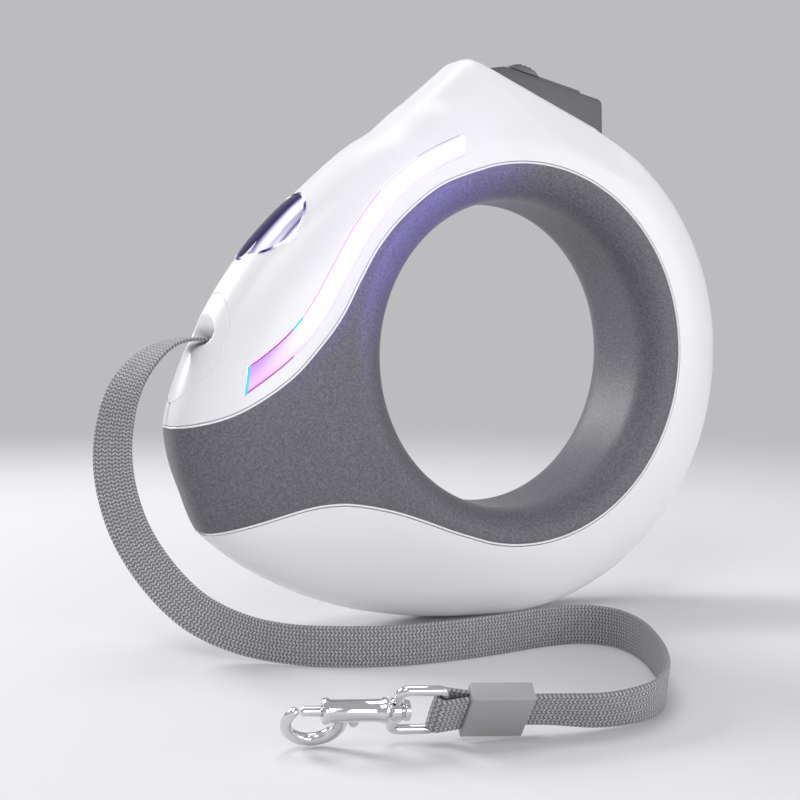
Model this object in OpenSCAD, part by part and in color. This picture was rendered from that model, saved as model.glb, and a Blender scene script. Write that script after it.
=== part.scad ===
// Retractable tape leash with a ring-shaped body: hand grip ring, tape reel in the nose,
// thumb brake on the top fin, side light guides and a front lamp.
// Front is the -Y side, the nose and the tape outlet face -X, and the body stands on Z = 0.

/* [Body] */
// Radius of the finger hole at its waist
hole_r = 43; // [40:0.5:47]
// Radius where the grip ends and the white side face begins
bead_r = 52; // [50:0.5:55]
// Outer radius of the ring
ring_r = 74.5; // [70:0.5:82]
// Half of the body's thickness
half_t = 17.5; // [16:0.5:21]
// Half length of the straight waist in the finger hole
waist_half = 8; // [5:0.5:10]
// Wall of the white shells, grip layer included
shell_wall = 3; // [2.6:0.1:3.6]
// Thickness of the soft grip layer
grip_t = 1.4; // [1:0.1:1.8]
// Depth of the flat foot cut off the bottom of the ring
foot_drop = 0.4; // [0.2:0.1:1]

/* [Reel] */
// Radius of the reel's flanges
flange_r = 21.8; // [18:0.2:22.2]
// Thickness of one flange
flange_t = 1.2; // [0.8:0.1:1.6]
// Radius of the reel's core
core_r = 8; // [6:0.5:10]
// Outer radius of the wound tape
wound_r = 20.6; // [14:0.2:21]
// Radius of the reel's steel axle
axle_r = 2.5; // [2:0.1:3]
// Radius of the ratchet wheel over its teeth
ratchet_r = 13; // [11:0.5:14]
// Number of ratchet teeth
tooth_count = 12; // [8:1:16]
// Radius of the recoil spring's cup
cup_r = 13; // [11:0.5:14]

/* [Tape] */
// Width of the woven tape
tape_w = 10; // [8:0.5:10.5]
// Thickness of the woven tape
tape_t = 0.9; // [0.6:0.1:1.2]
// Length of the sleeve that clamps the tape's end
sleeve_l = 13; // [10:0.5:15]
// Height of the sleeve over the tape's edges
sleeve_w = 12.5; // [11.5:0.5:13.5]
// Thickness of the sleeve
sleeve_t = 4.2; // [3.8:0.2:6]

/* [Brake] */
// Width of the brake button
button_w = 10; // [8:0.5:10.5]
// Travel of the brake button
button_travel = 3; // [2:0.25:3.5]
// Clearance round the button in the fin
button_gap = 0.25; // [0.2:0.05:0.4]
// Travel of the lock slider on the button
lock_travel = 4; // [3:0.5:5]

/* [Hook] */
// Outer radius of the hook's eye
eye_r = 6.6; // [5.5:0.1:7.5]
// Thickness of the hook's cast wire
hook_t = 2; // [1.6:0.1:2.4]
// Length of the hook's barrel
barrel_l = 13; // [11:0.5:15]
// Radius of the hook's barrel
barrel_r = 2.3; // [2:0.1:2.6]
// Length of the rectangular bail
bail_l = 9; // [8:0.5:11]
// Wire radius of the bail
bail_wire_r = 1; // [0.8:0.1:1.2]
// Travel of the gate bolt
gate_travel = 3; // [2:0.25:3.5]

/* [Light] */
// Width of the side light guides
guide_w = 5.4; // [4:0.2:6]
// How far the lamp lens stands proud of the nose
lens_bulge = 0.8; // [0.4:0.1:1.5]

/* [Hidden] */
$fn = 48;

// ---- places worked out from the driving sizes
nose_reach = 98.15;                      // furthest the nose reaches from the ring's centre
ring_x = (nose_reach - ring_r) / 2;      // puts the body's box in the middle of X = 0
ring_z = ring_r - foot_drop;
squareness = 2.5;                        // exponent of the rounded side profile
rib_step = 6;                            // degrees between two ribs of the outer skin
inner_step = 12;                         // and of every skin inside it

// Outline knots: angle round the ring's centre, reach from it. Elsewhere it is the ring.
outline = [
    [112, ring_r], [128, 73], [138, 73.6], [146, 75.4], [154, 78.2], [162, 82.4], [169, 86.2],
    [176, 90.5], [182, 94.6], [187, 98.2], [190, 99.9], [195, 100.6], [200, 100.4],
    [204, 100.6], [206.5, 100.4], [210, 98.3], [217, 93.9], [225, 88.9], [234, 84],
    [244, 79.4], [255, 76], [266, ring_r]
];

function turn(a) = a < -90 ? a + 360 : a;
function slope(t, i) = i == 0 || i == len(t) - 1 ? 0
    : (t[i + 1][1] - t[i - 1][1]) / (t[i + 1][0] - t[i - 1][0]);
function hermite(t, i, a) = let (
    d = t[i + 1][0] - t[i][0], s = (a - t[i][0]) / d)
    t[i][1] * (1 + 2 * s) * pow(1 - s, 2) + t[i + 1][1] * s * s * (3 - 2 * s)
    + d * s * (1 - s) * (slope(t, i) * (1 - s) - slope(t, i + 1) * s);
function knot_at(t, a, i = 0) = a <= t[i + 1][0] ? i : knot_at(t, a, i + 1);
function reach(a) = let (w = turn(a))
    w <= outline[0][0] || w >= outline[len(outline) - 1][0] ? ring_r
    : hermite(outline, knot_at(outline, w), w);

// Half section of the body at an angle, from the hole's waist over the side face to the rim.
// It is closed past the middle plane where it is to cut something.
function half_section(a, inset, steps, past) = let (t = half_t - inset, far = reach(a) - inset) concat(
    past > 0 ? [[hole_r + inset, -past]] : [],
    [[hole_r + inset, 0]],
    [for (f = [0, 45, 90]) [bead_r - (bead_r - hole_r - inset) * cos(f),
                            waist_half + (t - waist_half) * sin(f)]],
    [for (k = [1:steps]) let (f = 90 * k / steps)
        [bead_r + (far - bead_r) * pow(sin(f), 2 / squareness),
         k == steps ? 0 : t * pow(cos(f), 2 / squareness)]],
    past > 0 ? [[far, -past]] : []);

// Solid of the front half of the body, drawn in from its outside by inset. The skins inside
// the outer one run level over the flat foot.
module half_body(inset = 0, past = 0) {
    steps = inset > 0 ? 3 : 5;
    lowest = inset > 0 ? foot_drop + inset - ring_r : -2 * ring_r;
    rows = [for (a = [-90:(inset > 0 ? inner_step : rib_step):269])
        [for (p = half_section(a, inset, steps, past))
            [p[0] * cos(a), -p[1], max(p[0] * sin(a), lowest)]]];
    n = len(rows);
    m = len(rows[0]);
    polyhedron([for (r = rows) for (p = r) p],
        [for (i = [0:n - 1]) for (j = [0:m - 1])
            [i * m + j, ((i + 1) % n) * m + j, ((i + 1) % n) * m + (j + 1) % m, i * m + (j + 1) % m]],
        convexity = 6);
}

// ---- helpers
function at(a, r) = [r * cos(a), r * sin(a)];
function between(p, i, s) = let (
    a = p[max(i - 1, 0)], b = p[i], c = p[i + 1], d = p[min(i + 2, len(p) - 1)])
    0.5 * (2 * b + (c - a) * s + (2 * a - 5 * b + 4 * c - d) * s * s
           + (3 * b - a - 3 * c + d) * s * s * s);
function smooth(p, steps) = concat(
    [for (i = [0:len(p) - 2]) for (k = [0:steps - 1]) between(p, i, k / steps)], [p[len(p) - 1]]);
function split(q) = [[q[0], q[1], q[2]], [q[0], q[2], q[3]]];
function on_ring(list) = [for (e = list) at(e[0], edge_r + e[1])];
function side(p, i) = let (d = p[min(i + 1, len(p) - 1)] - p[max(i - 1, 0)])
    [-d[1], d[0]] / norm(d);
function band(p, w) = concat([for (i = [0:len(p) - 1]) p[i] + side(p, i) * w / 2],
    [for (i = [len(p) - 1:-1:0]) p[i] - side(p, i) * w / 2]);

// Body parts are drawn round the ring's centre.
module at_ring() translate([ring_x, 0, ring_z]) children();
// Slab between two depths from an outline drawn in X and Z.
module slab(y0, y1) translate([0, y1, 0]) rotate([90, 0, 0]) linear_extrude(y1 - y0) children();
module back_half() mirror([0, 1, 0]) children();
// All that is cut off level below the foot.
module under_foot() translate([-ring_r, -deep, foot_drop - ring_r - deep])
    cube([2 * ring_r, 2 * deep, deep]);
// Cylinder along Y between two depths.
module rod(x, z, r, y0, y1) translate([x, y1, z]) rotate([90, 0, 0]) cylinder(h = y1 - y0, r = r);
// Local X points out of the nose at an angle, local Z down along the nose.
module on_nose(p, a) translate([p[0], 0, p[1]]) rotate([0, -a, 0]) children();
// Plug through the nose wall from an outline drawn with X up the nose.
module nose_plug(l) rotate([0, 90, 0]) linear_extrude(l, center = true) children();
// Local X runs down the fin's sloping top, local Z points out of it.
module on_slope() translate([slope_x, 0, ring_r + slope_z]) rotate([0, slope_a, 0]) children();
// A skin and all that cuts it is worked out as one mesh.
module sculpted() minkowski() { union() { $fn = 16; children(); } }

// ---- edges of the grip and the light guide: angle, distance outside the edge circle
edge_r = bead_r + 0.15;
edge_steps = 2;
upper_edge = [[105, 0], [121.5, 0.8], [136.5, 1.4], [148.5, 2.3], [159.5, 3.3], [169.5, 5.7],
              [177.5, 10.9], [184.6, 19.5], [189.2, 32.8], [190.2, 45.5], [189.8, 62]];
lower_edge = [[203, 64], [205, 56], [206.3, 48.4], [207.2, 41.1], [209.5, 25.7], [212.3, 17.7],
              [216.2, 12.1], [224, 5.9], [233.3, 2.2], [243.7, 0.4], [255, 0]];
guide_path = [[110, 7.9], [122, 7.9], [134, 8.2], [147, 8.4], [158.5, 9.4], [169.3, 12.6],
              [175.3, 16.8], [179.8, 22.4], [183.8, 30.3]];
deep = 40;                               // past every wall
fit = 0.1;                               // seam between two pieces that are fixed together
running = 0.05;                          // radial clearance of a shaft in its bore

module grip_outline() polygon(concat(
    [for (a = [-102.5:5:97.5]) at(a, edge_r)],
    smooth(on_ring(upper_edge), edge_steps), smooth(on_ring(lower_edge), edge_steps)));
module guide_outline(w) polygon(band(smooth(on_ring(guide_path), edge_steps), w));

// ---- fin on top of the ring
slope_x = -6.7;                          // start of the fin's sloping top
slope_z = 5.1;
slope_a = 21.5;
peak = [-12.4, 3.1];                     // centre of the rounded peak, Z over the ring
peak_r = 4;
fin_wall = 1.25;
fin_top = button_w / 2 + button_gap + fin_wall;
fin_mid = 10.3;
fin_foot = half_t - 2.5;

module fin_layer(y0, y1, drop, left, right, r) slab(y0, y1) hull() {
    translate([peak[0] + drop / 8, ring_r + peak[1] - drop]) circle(r, $fn = 32);
    polygon([[left, ring_r - 19 - drop / 4], [right, ring_r - 12.2], [20, bead_r], [-34, bead_r - 8]]);
}
module fin() hull() {
    fin_layer(-fin_top, 0, 0, -46, 38, peak_r);
    fin_layer(-fin_mid, -fin_top, 5, -43, 26, peak_r - 0.5);
    slab(-fin_foot, -fin_mid) polygon(concat(
        [for (a = [60:8:124]) at(a, ring_r - 10)], [[-20, bead_r], [20, bead_r]]));
}

// ---- outlets in the nose
port_at = [-89.5, 2.8];
port_a = 154;
lamp_at = [-70.2, 34.2];
lamp_a = 135.7;
slot_up = 3.25;                          // tape slot above the port's middle
slot_in = 2.6;                           // slot's mouth below the port's face
plate_t = 2.6;
module port_outline(grow = 0) hull() {
    translate([4.5, 0]) circle(10.2 + grow, $fn = 32);
    translate([-9.5, 0]) circle(6.5 + grow, $fn = 32);
}
lamp_long = 12;
lamp_wide = 11.3;
module lamp_outline(grow = 0) polygon([for (a = [0:10:350])
    [(lamp_long + grow) * cos(a), (lamp_wide + grow) * sin(a)]]);
module port_hole(grow = 0) on_nose(port_at, port_a) nose_plug(26) port_outline(grow);
module lamp_hole(grow = 0) on_nose(lamp_at, lamp_a) nose_plug(24) lamp_outline(grow);

// ---- places of the inner parts
reel_at = [-67.2, -21.1];
pivot_at = at(128, 54);
pivot_r = 1.5;
lever_y = [7.6, 9.8];                    // the lever lies beside the reel, towards the back
post_y = 15.5;                           // far enough to root in the shell's wall
screw_spots = [[15, 63], [-38, 63], [-95, 63], [222, 76], [100, 63]];
boss_r = 3.2;                            // screw pillar, screw head, shank and threaded end
head_r = 2.7;
shank_r = 1.4;
thread_r = 1.05;
head_seat = half_t - 5;
axle_end = 14.2;
axle_bed = 13.2;                         // the axle's bosses start here, outside the reel's cup
switch_at = at(45, 58);
switch_r = 4;
battery_at = at(-123, 62.5);
battery_size = [31, 9, 15];
battery_turn = 33;
cradle_rib = 2;
cradle_spots = [-10, 8];
board_at = at(147, 61);
board_size = [20, 1.2, 12];
board_turn = -57;
board_y = -8.5;
post_r = 1.6;
key_board = [12, 1.2, 11];               // small board that carries the key under the light switch
key_board_y = 8;
key_lug = [4.4, 5.6];                    // place of its posts from the switch's middle
key_lug_r = 1.5;
key_size = [6, 2.1, 6];                  // tact key, a little over a travel below the switch
switch_flange_t = 1;
switch_y = key_board_y + key_size[1] + 0.9;
switch_seat_r = switch_r + 2;            // tube that the switch's flange rests against

module reel_boss(r, y0, y1) rod(reel_at[0], reel_at[1], r, y0, y1);

// Pillars, posts and the cradle inside the front half; the back half takes the mirrored set.
module inner_bosses() {
    for (s = screw_spots) let (p = at(s[0], s[1])) rod(p[0], p[1], boss_r, -deep, -fit / 2);
    reel_boss(axle_r + 2, -deep, -axle_bed);
    translate([battery_at[0], 0, battery_at[1]]) rotate([0, battery_turn, 0])
        for (x = cradle_spots) translate([x, -deep, 1 - battery_size[2] / 2])
            cube([cradle_rib, deep - battery_size[1] / 2 - fit, battery_size[2] - 1]);
    translate([board_at[0], 0, board_at[1]]) rotate([0, board_turn, 0])
        for (x = [-7, 7]) rod(x, 3, post_r, -deep, board_y - board_size[1] / 2 - fit);
}

// Opening in the fin. Its floor is open over the stem and closed over the spring.
button_low = 0.8;                        // where the button starts along the slope
slot_floor = -12;
slot_reach = 18;
spring_floor = 28;
function button_end(h) = 39.6 + (9.1 - h) * tan(slope_a);
module button_slot() on_slope() slab(-button_w / 2 - button_gap, deep) polygon([
    [button_low - button_gap, slot_floor - 5], [button_low - button_gap, slot_reach],
    [36.2 + button_gap, slot_reach], [button_end(slot_floor) + button_gap, slot_floor],
    [spring_floor, slot_floor], [spring_floor, slot_floor - 5]]);

module front_shell_body() {
    difference() {
        union() {
            difference() {
                union() {
                    half_body();
                    fin();
                }
                slab(-deep, 1) grip_outline();
            }
            half_body(grip_t);
        }
        half_body(shell_wall, 1);
        under_foot();
    }
    intersection() {
        half_body(shell_wall - 1);
        union() {
            inner_bosses();
            on_slope() translate([spring_floor, -deep, slot_floor - 1.5]) cube([10, deep, 1.5]);
        }
    }
}

module shell_front() color("white") at_ring() sculpted() difference() {
    front_shell_body();
    port_hole(fit);
    lamp_hole(fit);
    slab(-deep, -shell_wall) guide_outline(guide_w + 2 * fit);
    button_slot();
    reel_boss(axle_r + fit / 2, -axle_end - fit, 1);
    for (s = screw_spots) let (p = at(s[0], s[1])) rod(p[0], p[1], thread_r + fit / 2, -11, 1);
}

module shell_back() color("white") at_ring() sculpted() difference() {
    union() {
        back_half() front_shell_body();
        rod(pivot_at[0], pivot_at[1], pivot_r + post_r, lever_y[1] + 0.4, post_y);
        for (x = [-key_lug[0], key_lug[0]])
            rod(switch_at[0] + x, switch_at[1] + key_lug[1], key_lug_r, key_board_y + fit, post_y);
        rod(switch_at[0], switch_at[1], switch_seat_r, switch_y + switch_flange_t + running, post_y);
    }
    port_hole(fit);
    lamp_hole(fit);
    back_half() slab(-deep, -shell_wall) guide_outline(guide_w + 2 * fit);
    back_half() button_slot();
    reel_boss(axle_r + fit / 2, -1, axle_end + fit);
    rod(pivot_at[0], pivot_at[1], pivot_r + fit / 2, 0, pin_end + 0.7);
    rod(switch_at[0], switch_at[1], switch_r + 0.2, 0, deep);
    for (s = screw_spots) let (p = at(s[0], s[1])) {
        rod(p[0], p[1], shank_r + 0.2, -1, deep);
        rod(p[0], p[1], head_r + 0.3, head_seat, deep);
    }
}

module grip_half() at_ring() sculpted() difference() {
    intersection() {
        half_body();
        slab(-deep, 1) grip_outline();
    }
    half_body(grip_t, 1);
}
module grip_front() color("dimgray") grip_half();
module grip_back() color("dimgray") back_half() grip_half();

module guide_half() at_ring() sculpted() intersection() {
    difference() {
        half_body();
        half_body(shell_wall);
    }
    slab(-deep, -shell_wall) guide_outline(guide_w);
}
module light_guide_front() color("lavender") guide_half();
module light_guide_back() color("lavender") back_half() guide_half();

strip_t = 0.8;                           // LED strip behind the light guide
module led_half() at_ring() sculpted() intersection() {
    difference() {
        half_body(shell_wall + fit);
        half_body(shell_wall + fit + strip_t);
    }
    slab(-deep, -shell_wall) guide_outline(guide_w - 1.4);
}
module led_strip_front() color("gold") led_half();
module led_strip_back() color("gold") back_half() led_half();

module full_body(inset = 0) {
    half_body(inset);
    back_half() half_body(inset);
}

lens_t = 1.2;
module lamp_lens() color("lightsteelblue", 0.6) at_ring() sculpted() intersection() {
    difference() {
        full_body(-lens_bulge);
        full_body(lens_t);
    }
    lamp_hole();
}
dish_r = 9.6;
dish_in = 4.2;
dish_depth = 6;
dish_wall = 0.8;
function dish(k) = dish_r * sqrt(1 - pow(k / 7, 2));
module lamp_reflector() color("silver") at_ring() on_nose(lamp_at, lamp_a) translate([-dish_in, 0, 0])
    rotate([0, -90, 0]) rotate_extrude() polygon(concat(
        [for (k = [0:6]) [dish(k), dish_depth * k / 6]],
        [for (k = [6:-1:0]) [dish(k) - dish_wall, dish_depth * k / 6]]));
star_t = 1.2;                            // round base that the LED is soldered to
module lamp_led() color("khaki") at_ring() on_nose(lamp_at, lamp_a)
    translate([-dish_in - dish_depth - star_t, 0, 0]) rotate([0, 90, 0]) {
        cylinder(h = star_t, r = 5);
        translate([0, 0, star_t]) cylinder(h = 1.5, r = 1.8);
    }

// ---- tape outlet
slot_tilt = -14;                         // the slot looks level rather than square to the nose
slot_side = 0.4;                         // room beside the tape, over it and under it
slot_over = 0.3;
slot_l = 10;
module slot_cut() translate([-slot_in, 0, -slot_up]) rotate([0, slot_tilt, 0])
    translate([-slot_l, -tape_w / 2 - slot_side, -tape_t / 2 - slot_over])
        cube([slot_l, tape_w + 2 * slot_side, tape_t + 2 * slot_over]);
funnel_size = [8.5, 9];                  // half height and half width of the funnel's mouth
module funnel() hull() {
    translate([-slot_in - 0.6, -tape_w / 2 - slot_side, -slot_up - 0.8])
        cube([0.5, tape_w + 2 * slot_side, 1.6]);
    translate([4, 0, -slot_up - 0.5]) rotate([0, 90, 0])
        linear_extrude(0.1) polygon([for (a = [0:20:340])
            [funnel_size[0] * cos(a), funnel_size[1] * sin(a)]]);
}
guide_block = [12, 16, 11];              // carries the slot and the guide pins behind the plate
module port_plate() color("whitesmoke") at_ring() sculpted() difference() {
    intersection() {
        union() {
            difference() {
                full_body();
                full_body(plate_t);
            }
            on_nose(port_at, port_a) translate(-guide_block / 2 - [2, 0, 2.5]) cube(guide_block);
        }
        full_body();
        port_hole();
    }
    on_nose(port_at, port_a) {
        funnel();
        slot_cut();
    }
    for (p = pin_spots) rod(p[0], p[1], pin_r + running, -deep, deep);
}
pin_r = 1.2;
pin_in = 6.6;                            // guide pins below the port's face
pin_up = slot_up - (pin_in - slot_in) * tan(slot_tilt);
pin_apart = (pin_r + tape_t / 2 + slot_over) / cos(slot_tilt);
pin_spots = [for (d = [-1, 1]) port_at - at(port_a, pin_in) + at(port_a - 90, pin_up + d * pin_apart)];
pin_half = tape_w / 2 + 2.5;
module guide_pins() color("silver") at_ring()
    for (p = pin_spots) rod(p[0], p[1], pin_r, -pin_half, pin_half);

// ---- brake: button, lock slider, spring, lever and its pin
skirt = 2.5;                             // how far the button reaches into the fin
stem = [19.5, 24.5];                     // the stem's start and end along the slope
stem_h = 15.4;
ramp_a = 9.95;                           // the button's top against the fin's slope
ramp_at = [5.4, 3.1];                    // where that top starts
spring_at = 33;
keel = [1, 1.5];                         // half width and depth of the slider's keel
keel_from = 4;
keel_l = 17;
slider_half = 4;
slider_l = 25.2;
slider_from = 1.8;
module on_ramp() on_slope() translate([ramp_at[0], 0, ramp_at[1]]) rotate([0, -ramp_a, 0]) children();

module brake_button() color("dimgray") at_ring() difference() {
    on_slope() {
        slab(-button_w / 2, button_w / 2) polygon([[button_low, -skirt], [button_low, 0.3], ramp_at,
            [38.2, 8.85], [39.3, 8.5], [39.9, 7.6], [button_end(-skirt), -skirt]]);
        slab(-2, 2) polygon([[stem[0], -stem_h], [stem[1], -stem_h], [stem[1], -skirt], [stem[0], -skirt]]);
        translate([spring_at, 0, -6]) cylinder(h = 4, r = 1.8);
    }
    on_ramp() translate([keel_from - fit, -keel[0] - fit, -keel[1] - fit])
        cube([keel_l + lock_travel + 2 * fit, 2 * (keel[0] + fit), deep]);
}
module lock_slider() color("gray") at_ring() on_ramp() {
    translate([slider_from, -slider_half, running]) cube([slider_l, 2 * slider_half, 0.75]);
    translate([keel_from, -keel[0], -keel[1]]) cube([keel_l, 2 * keel[0], keel[1] + 0.5]);
    // the hump that the thumb pushes, with three grooves across its crest
    slab(-slider_half, slider_half) polygon([[slider_from, running], [3.2, 1.6], [5.6, 2.5], [6.4, 2.2],
        [7.2, 2.6], [8, 2.2], [8.8, 2.5], [9.6, 2.0], [10.6, 1.9], [12.4, 0.7], [12.4, running]]);
}

// Round wire wound along Z, closed by flat ends of the wire itself.
module coil(r, wire, h, turns, facets = 5) {
    rings = 9 * turns;
    pts = [for (i = [0:rings]) let (a = 360 * turns * i / rings, z = wire + (h - 2 * wire) * i / rings)
        for (k = [0:facets - 1]) let (b = 360 * k / facets, q = r + wire * cos(b))
            [q * cos(a), q * sin(a), z + wire * sin(b)]];
    polyhedron(pts, concat(
        [for (i = [0:rings - 1]) for (k = [0:facets - 1]) let (n = (k + 1) % facets)
            each split([i * facets + k, i * facets + n, (i + 1) * facets + n, (i + 1) * facets + k])],
        [[for (k = [facets - 1:-1:0]) k], [for (k = [0:facets - 1]) rings * facets + k]]));
}
module button_spring() color("silver") at_ring() on_slope()
    translate([spring_at, 0, slot_floor + running]) coil(2.5, 0.35, -skirt - slot_floor - 2 * running, 5);

lever_hub = 4.4;
lever_arm = [53, 58, 82, 130];           // inner and outer radius, first and last angle
lever_tail = [48.6, 52.6, 127, 196];
lever_pad = [3, 13.5];                   // the stem presses here
pad_low = 53.6;
stem_foot = ring_r + slope_z - stem[1] * sin(slope_a) - stem_h * cos(slope_a);
tooth_depth = 2.2;
pawl_tip = reel_at + at(24, ratchet_r + 1.3);
pin_end = 14.3;
module arc_bar(b) slab(lever_y[0], lever_y[1]) polygon(concat(
    [for (a = [b[2]:3:b[3]]) at(a, b[1])], [for (a = [b[3]:-3:b[2]]) at(a, b[0])]));
module brake_lever() color("slategray") at_ring() difference() {
    union() {
        arc_bar(lever_arm);
        arc_bar(lever_tail);
        rod(pivot_at[0], pivot_at[1], lever_hub, lever_y[0], lever_y[1]);
        slab(-skirt, lever_y[1]) polygon([[lever_pad[0], pad_low], [lever_pad[1], pad_low],
            [lever_pad[1], stem_foot - 0.15], [lever_pad[0], stem_foot - 0.15]]);
        slab(lever_y[0], lever_y[1]) polygon([at(188, 51), at(196, 49), pawl_tip, at(188, 52.5)]);
    }
    rod(pivot_at[0], pivot_at[1], pivot_r + running, 0, deep);
}
module lever_pin() color("silver") at_ring()
    rod(pivot_at[0], pivot_at[1], pivot_r, lever_y[0] - 0.8, pin_end);

// ---- reel
reel_half = tape_w / 2 + 0.6;            // half of the room between the flanges
ratchet_y = [7.5, 9.7];
gap_a = 38;                              // a tooth gap faces where the pawl comes in
module on_reel() at_ring() translate([reel_at[0], 0, reel_at[1]]) children();
module reel_spool() color("dimgray") on_reel() difference() {
    union() {
        rod(0, 0, core_r, -reel_half - flange_t, reel_half + flange_t);
        for (s = [0, 1]) mirror([0, s, 0]) rod(0, 0, flange_r, reel_half, reel_half + flange_t);
        rod(0, 0, ratchet_r - tooth_depth - 2, reel_half, ratchet_y[1]);
        slab(ratchet_y[0], ratchet_y[1]) polygon([for (i = [0:tooth_count - 1])
            let (a = gap_a + 360 * (i + 0.5) / tooth_count, b = 360 / tooth_count)
            each [at(a - 0.38 * b, ratchet_r - tooth_depth), at(a - 0.12 * b, ratchet_r),
                  at(a + 0.12 * b, ratchet_r), at(a + 0.38 * b, ratchet_r - tooth_depth)]]);
    }
    rod(0, 0, axle_r + running, -deep, deep);
}
module reel_winding() color("gray") on_reel() difference() {
    rod(0, 0, wound_r, -tape_w / 2, tape_w / 2);
    rod(0, 0, core_r + running, -deep, deep);
}
cup_y = [-10.9, -reel_half - flange_t];
cup_wall = 1;
module spring_cup() color("lightgray") on_reel() difference() {
    rod(0, 0, cup_r, cup_y[0], cup_y[1]);
    rod(0, 0, cup_r - cup_wall, cup_y[0] - 1, cup_y[1] - cup_wall);
    rod(0, 0, axle_r + 0.4, -deep, deep);
}
spring_turns = 5;
spring_t = 0.35;
spring_steps = 20;                       // straight pieces in each turn of the flat spring
function coil_at(i, out) = at(360 * i / spring_steps,
    axle_r + 0.3 + out + (cup_r - cup_wall - axle_r - 1.2) * i / (spring_steps * spring_turns));
module recoil_spring() color("silver") on_reel() slab(cup_y[0] + 0.3, cup_y[1] - cup_wall - 0.3)
    polygon(concat([for (i = [0:spring_steps * spring_turns]) coil_at(i, spring_t)],
        [for (i = [spring_steps * spring_turns:-1:0]) coil_at(i, 0)]));
module reel_axle() color("silver") on_reel() rod(0, 0, axle_r, -axle_end, axle_end);

// ---- battery, board, switch and screws
module battery() color("steelblue") at_ring() translate([battery_at[0], 0, battery_at[1]])
    rotate([0, battery_turn, 0]) cube(battery_size, center = true);
module circuit_board() color("seagreen") at_ring() {
    translate([switch_at[0], key_board_y, switch_at[1]]) {
        translate([-key_board[0] / 2, -key_board[1], -4]) cube(key_board);
        translate([-key_size[0] / 2, -0.1, -key_size[2] / 2]) cube(key_size);
    }
    // main board with its charger chip and its controller
    translate([board_at[0], board_y, board_at[1]]) rotate([0, board_turn, 0]) {
        cube(board_size, center = true);
        translate([-7, 0.5, -4]) cube([5, 1.3, 5]);
        translate([3, 0.5, -3]) cube([6, 1.1, 4]);
    }
}
module light_switch() color("white") at_ring() {
    rod(switch_at[0], switch_at[1], switch_r, switch_y, half_t + 0.2);
    rod(switch_at[0], switch_at[1], switch_r + 1, switch_y, switch_y + switch_flange_t);
}
module housing_screws() color("silver") at_ring()
    for (s = screw_spots) let (p = at(s[0], s[1])) {
        rod(p[0], p[1], head_r, head_seat, head_seat + 1.8);
        rod(p[0], p[1], shank_r, 0, head_seat + 0.2);
        rod(p[0], p[1], thread_r, -9, 0.2);
    }

// ---- free tape: place of the middle line and the direction across the tape, chosen by hand
tape_way = [
    [[-52, 0, 74.1], [0, 1, 0]], [[-63, 0, 76.4], [0, 1, 0]], [[-74, 0, 78.7], [0, 1, 0]],
    [[-84, 0, 78.4], [-0.1, 1, 0]], [[-92, -1, 74], [-0.4, 1, 0.1]], [[-98, -2, 66], [-0.8, 1, 0.1]],
    [[-101, -3, 55], [-1, 0.8, 0]], [[-101, -4, 44], [-1, 0.6, 0]], [[-98, -6, 32], [-1, 0.5, -0.2]],
    [[-92, -9, 21], [-1, 0.4, -0.5]], [[-84, -13, 12], [-0.8, 0.2, -1]], [[-75, -20, 7], [-0.3, 0.1, -1]],
    [[-66, -29, 5.3], [0, 0, -1]], [[-55, -37, 5.1], [0, 0, -1]], [[-43, -42, 5.1], [0, 0, -1]],
    [[-29, -44, 5.1], [0, 0, -1]], [[-15, -44, 5.1], [0, 0, -1]], [[-1, -43, 5.1], [0, 0, -1]],
    [[10, -45, 5.1], [0, 0, -1]], [[15, -53, 5.1], [0, 0, -1]], [[13, -65, 5.1], [0, 0, -1]],
    [[7, -78, 5.1], [0, 0, -1]], [[-1, -91, 5.1], [0, 0.1, -1]], [[-10, -102, 5.1], [0, 0.2, -1]],
    [[-20, -108, 4.9], [0, 0.4, -1]], [[-31, -108.5, 4.9], [0.1, 0.6, -1]], [[-42, -106, 5.9], [0.1, 0.62, -0.78]],
    [[-53, -103, 6.6], [0.1, 0.62, -0.78]]
];
tape_spots = smooth([for (w = tape_way) w[0]], 2);
tape_turns = smooth([for (w = tape_way) w[1] / norm(w[1])], 2);
function ahead(i) = tape_spots[min(i + 1, len(tape_spots) - 1)] - tape_spots[max(i - 1, 0)];
function across(i) = let (d = ahead(i) / norm(ahead(i)), w = tape_turns[i] - d * (d * tape_turns[i]))
    w / norm(w);
// Flat strip swept along the route, four corners to a ring.
module strip(w, t) {
    last = len(tape_spots) - 1;
    pts = [for (i = [0:last]) let (u = across(i) * w / 2, n = cross(ahead(i), u), v = n / norm(n) * t / 2)
        each [tape_spots[i] + u + v, tape_spots[i] - u + v, tape_spots[i] - u - v, tape_spots[i] + u - v]];
    polyhedron(pts, concat([[3, 2, 1, 0]], [for (i = [0:last - 1]) for (k = [0:3])
        each split([4 * i + k, 4 * i + (k + 1) % 4, 4 * (i + 1) + (k + 1) % 4, 4 * (i + 1) + k])],
        [[for (k = [0:3]) 4 * last + k]]));
}
module tape() color("gray") strip(tape_w, tape_t);

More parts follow.
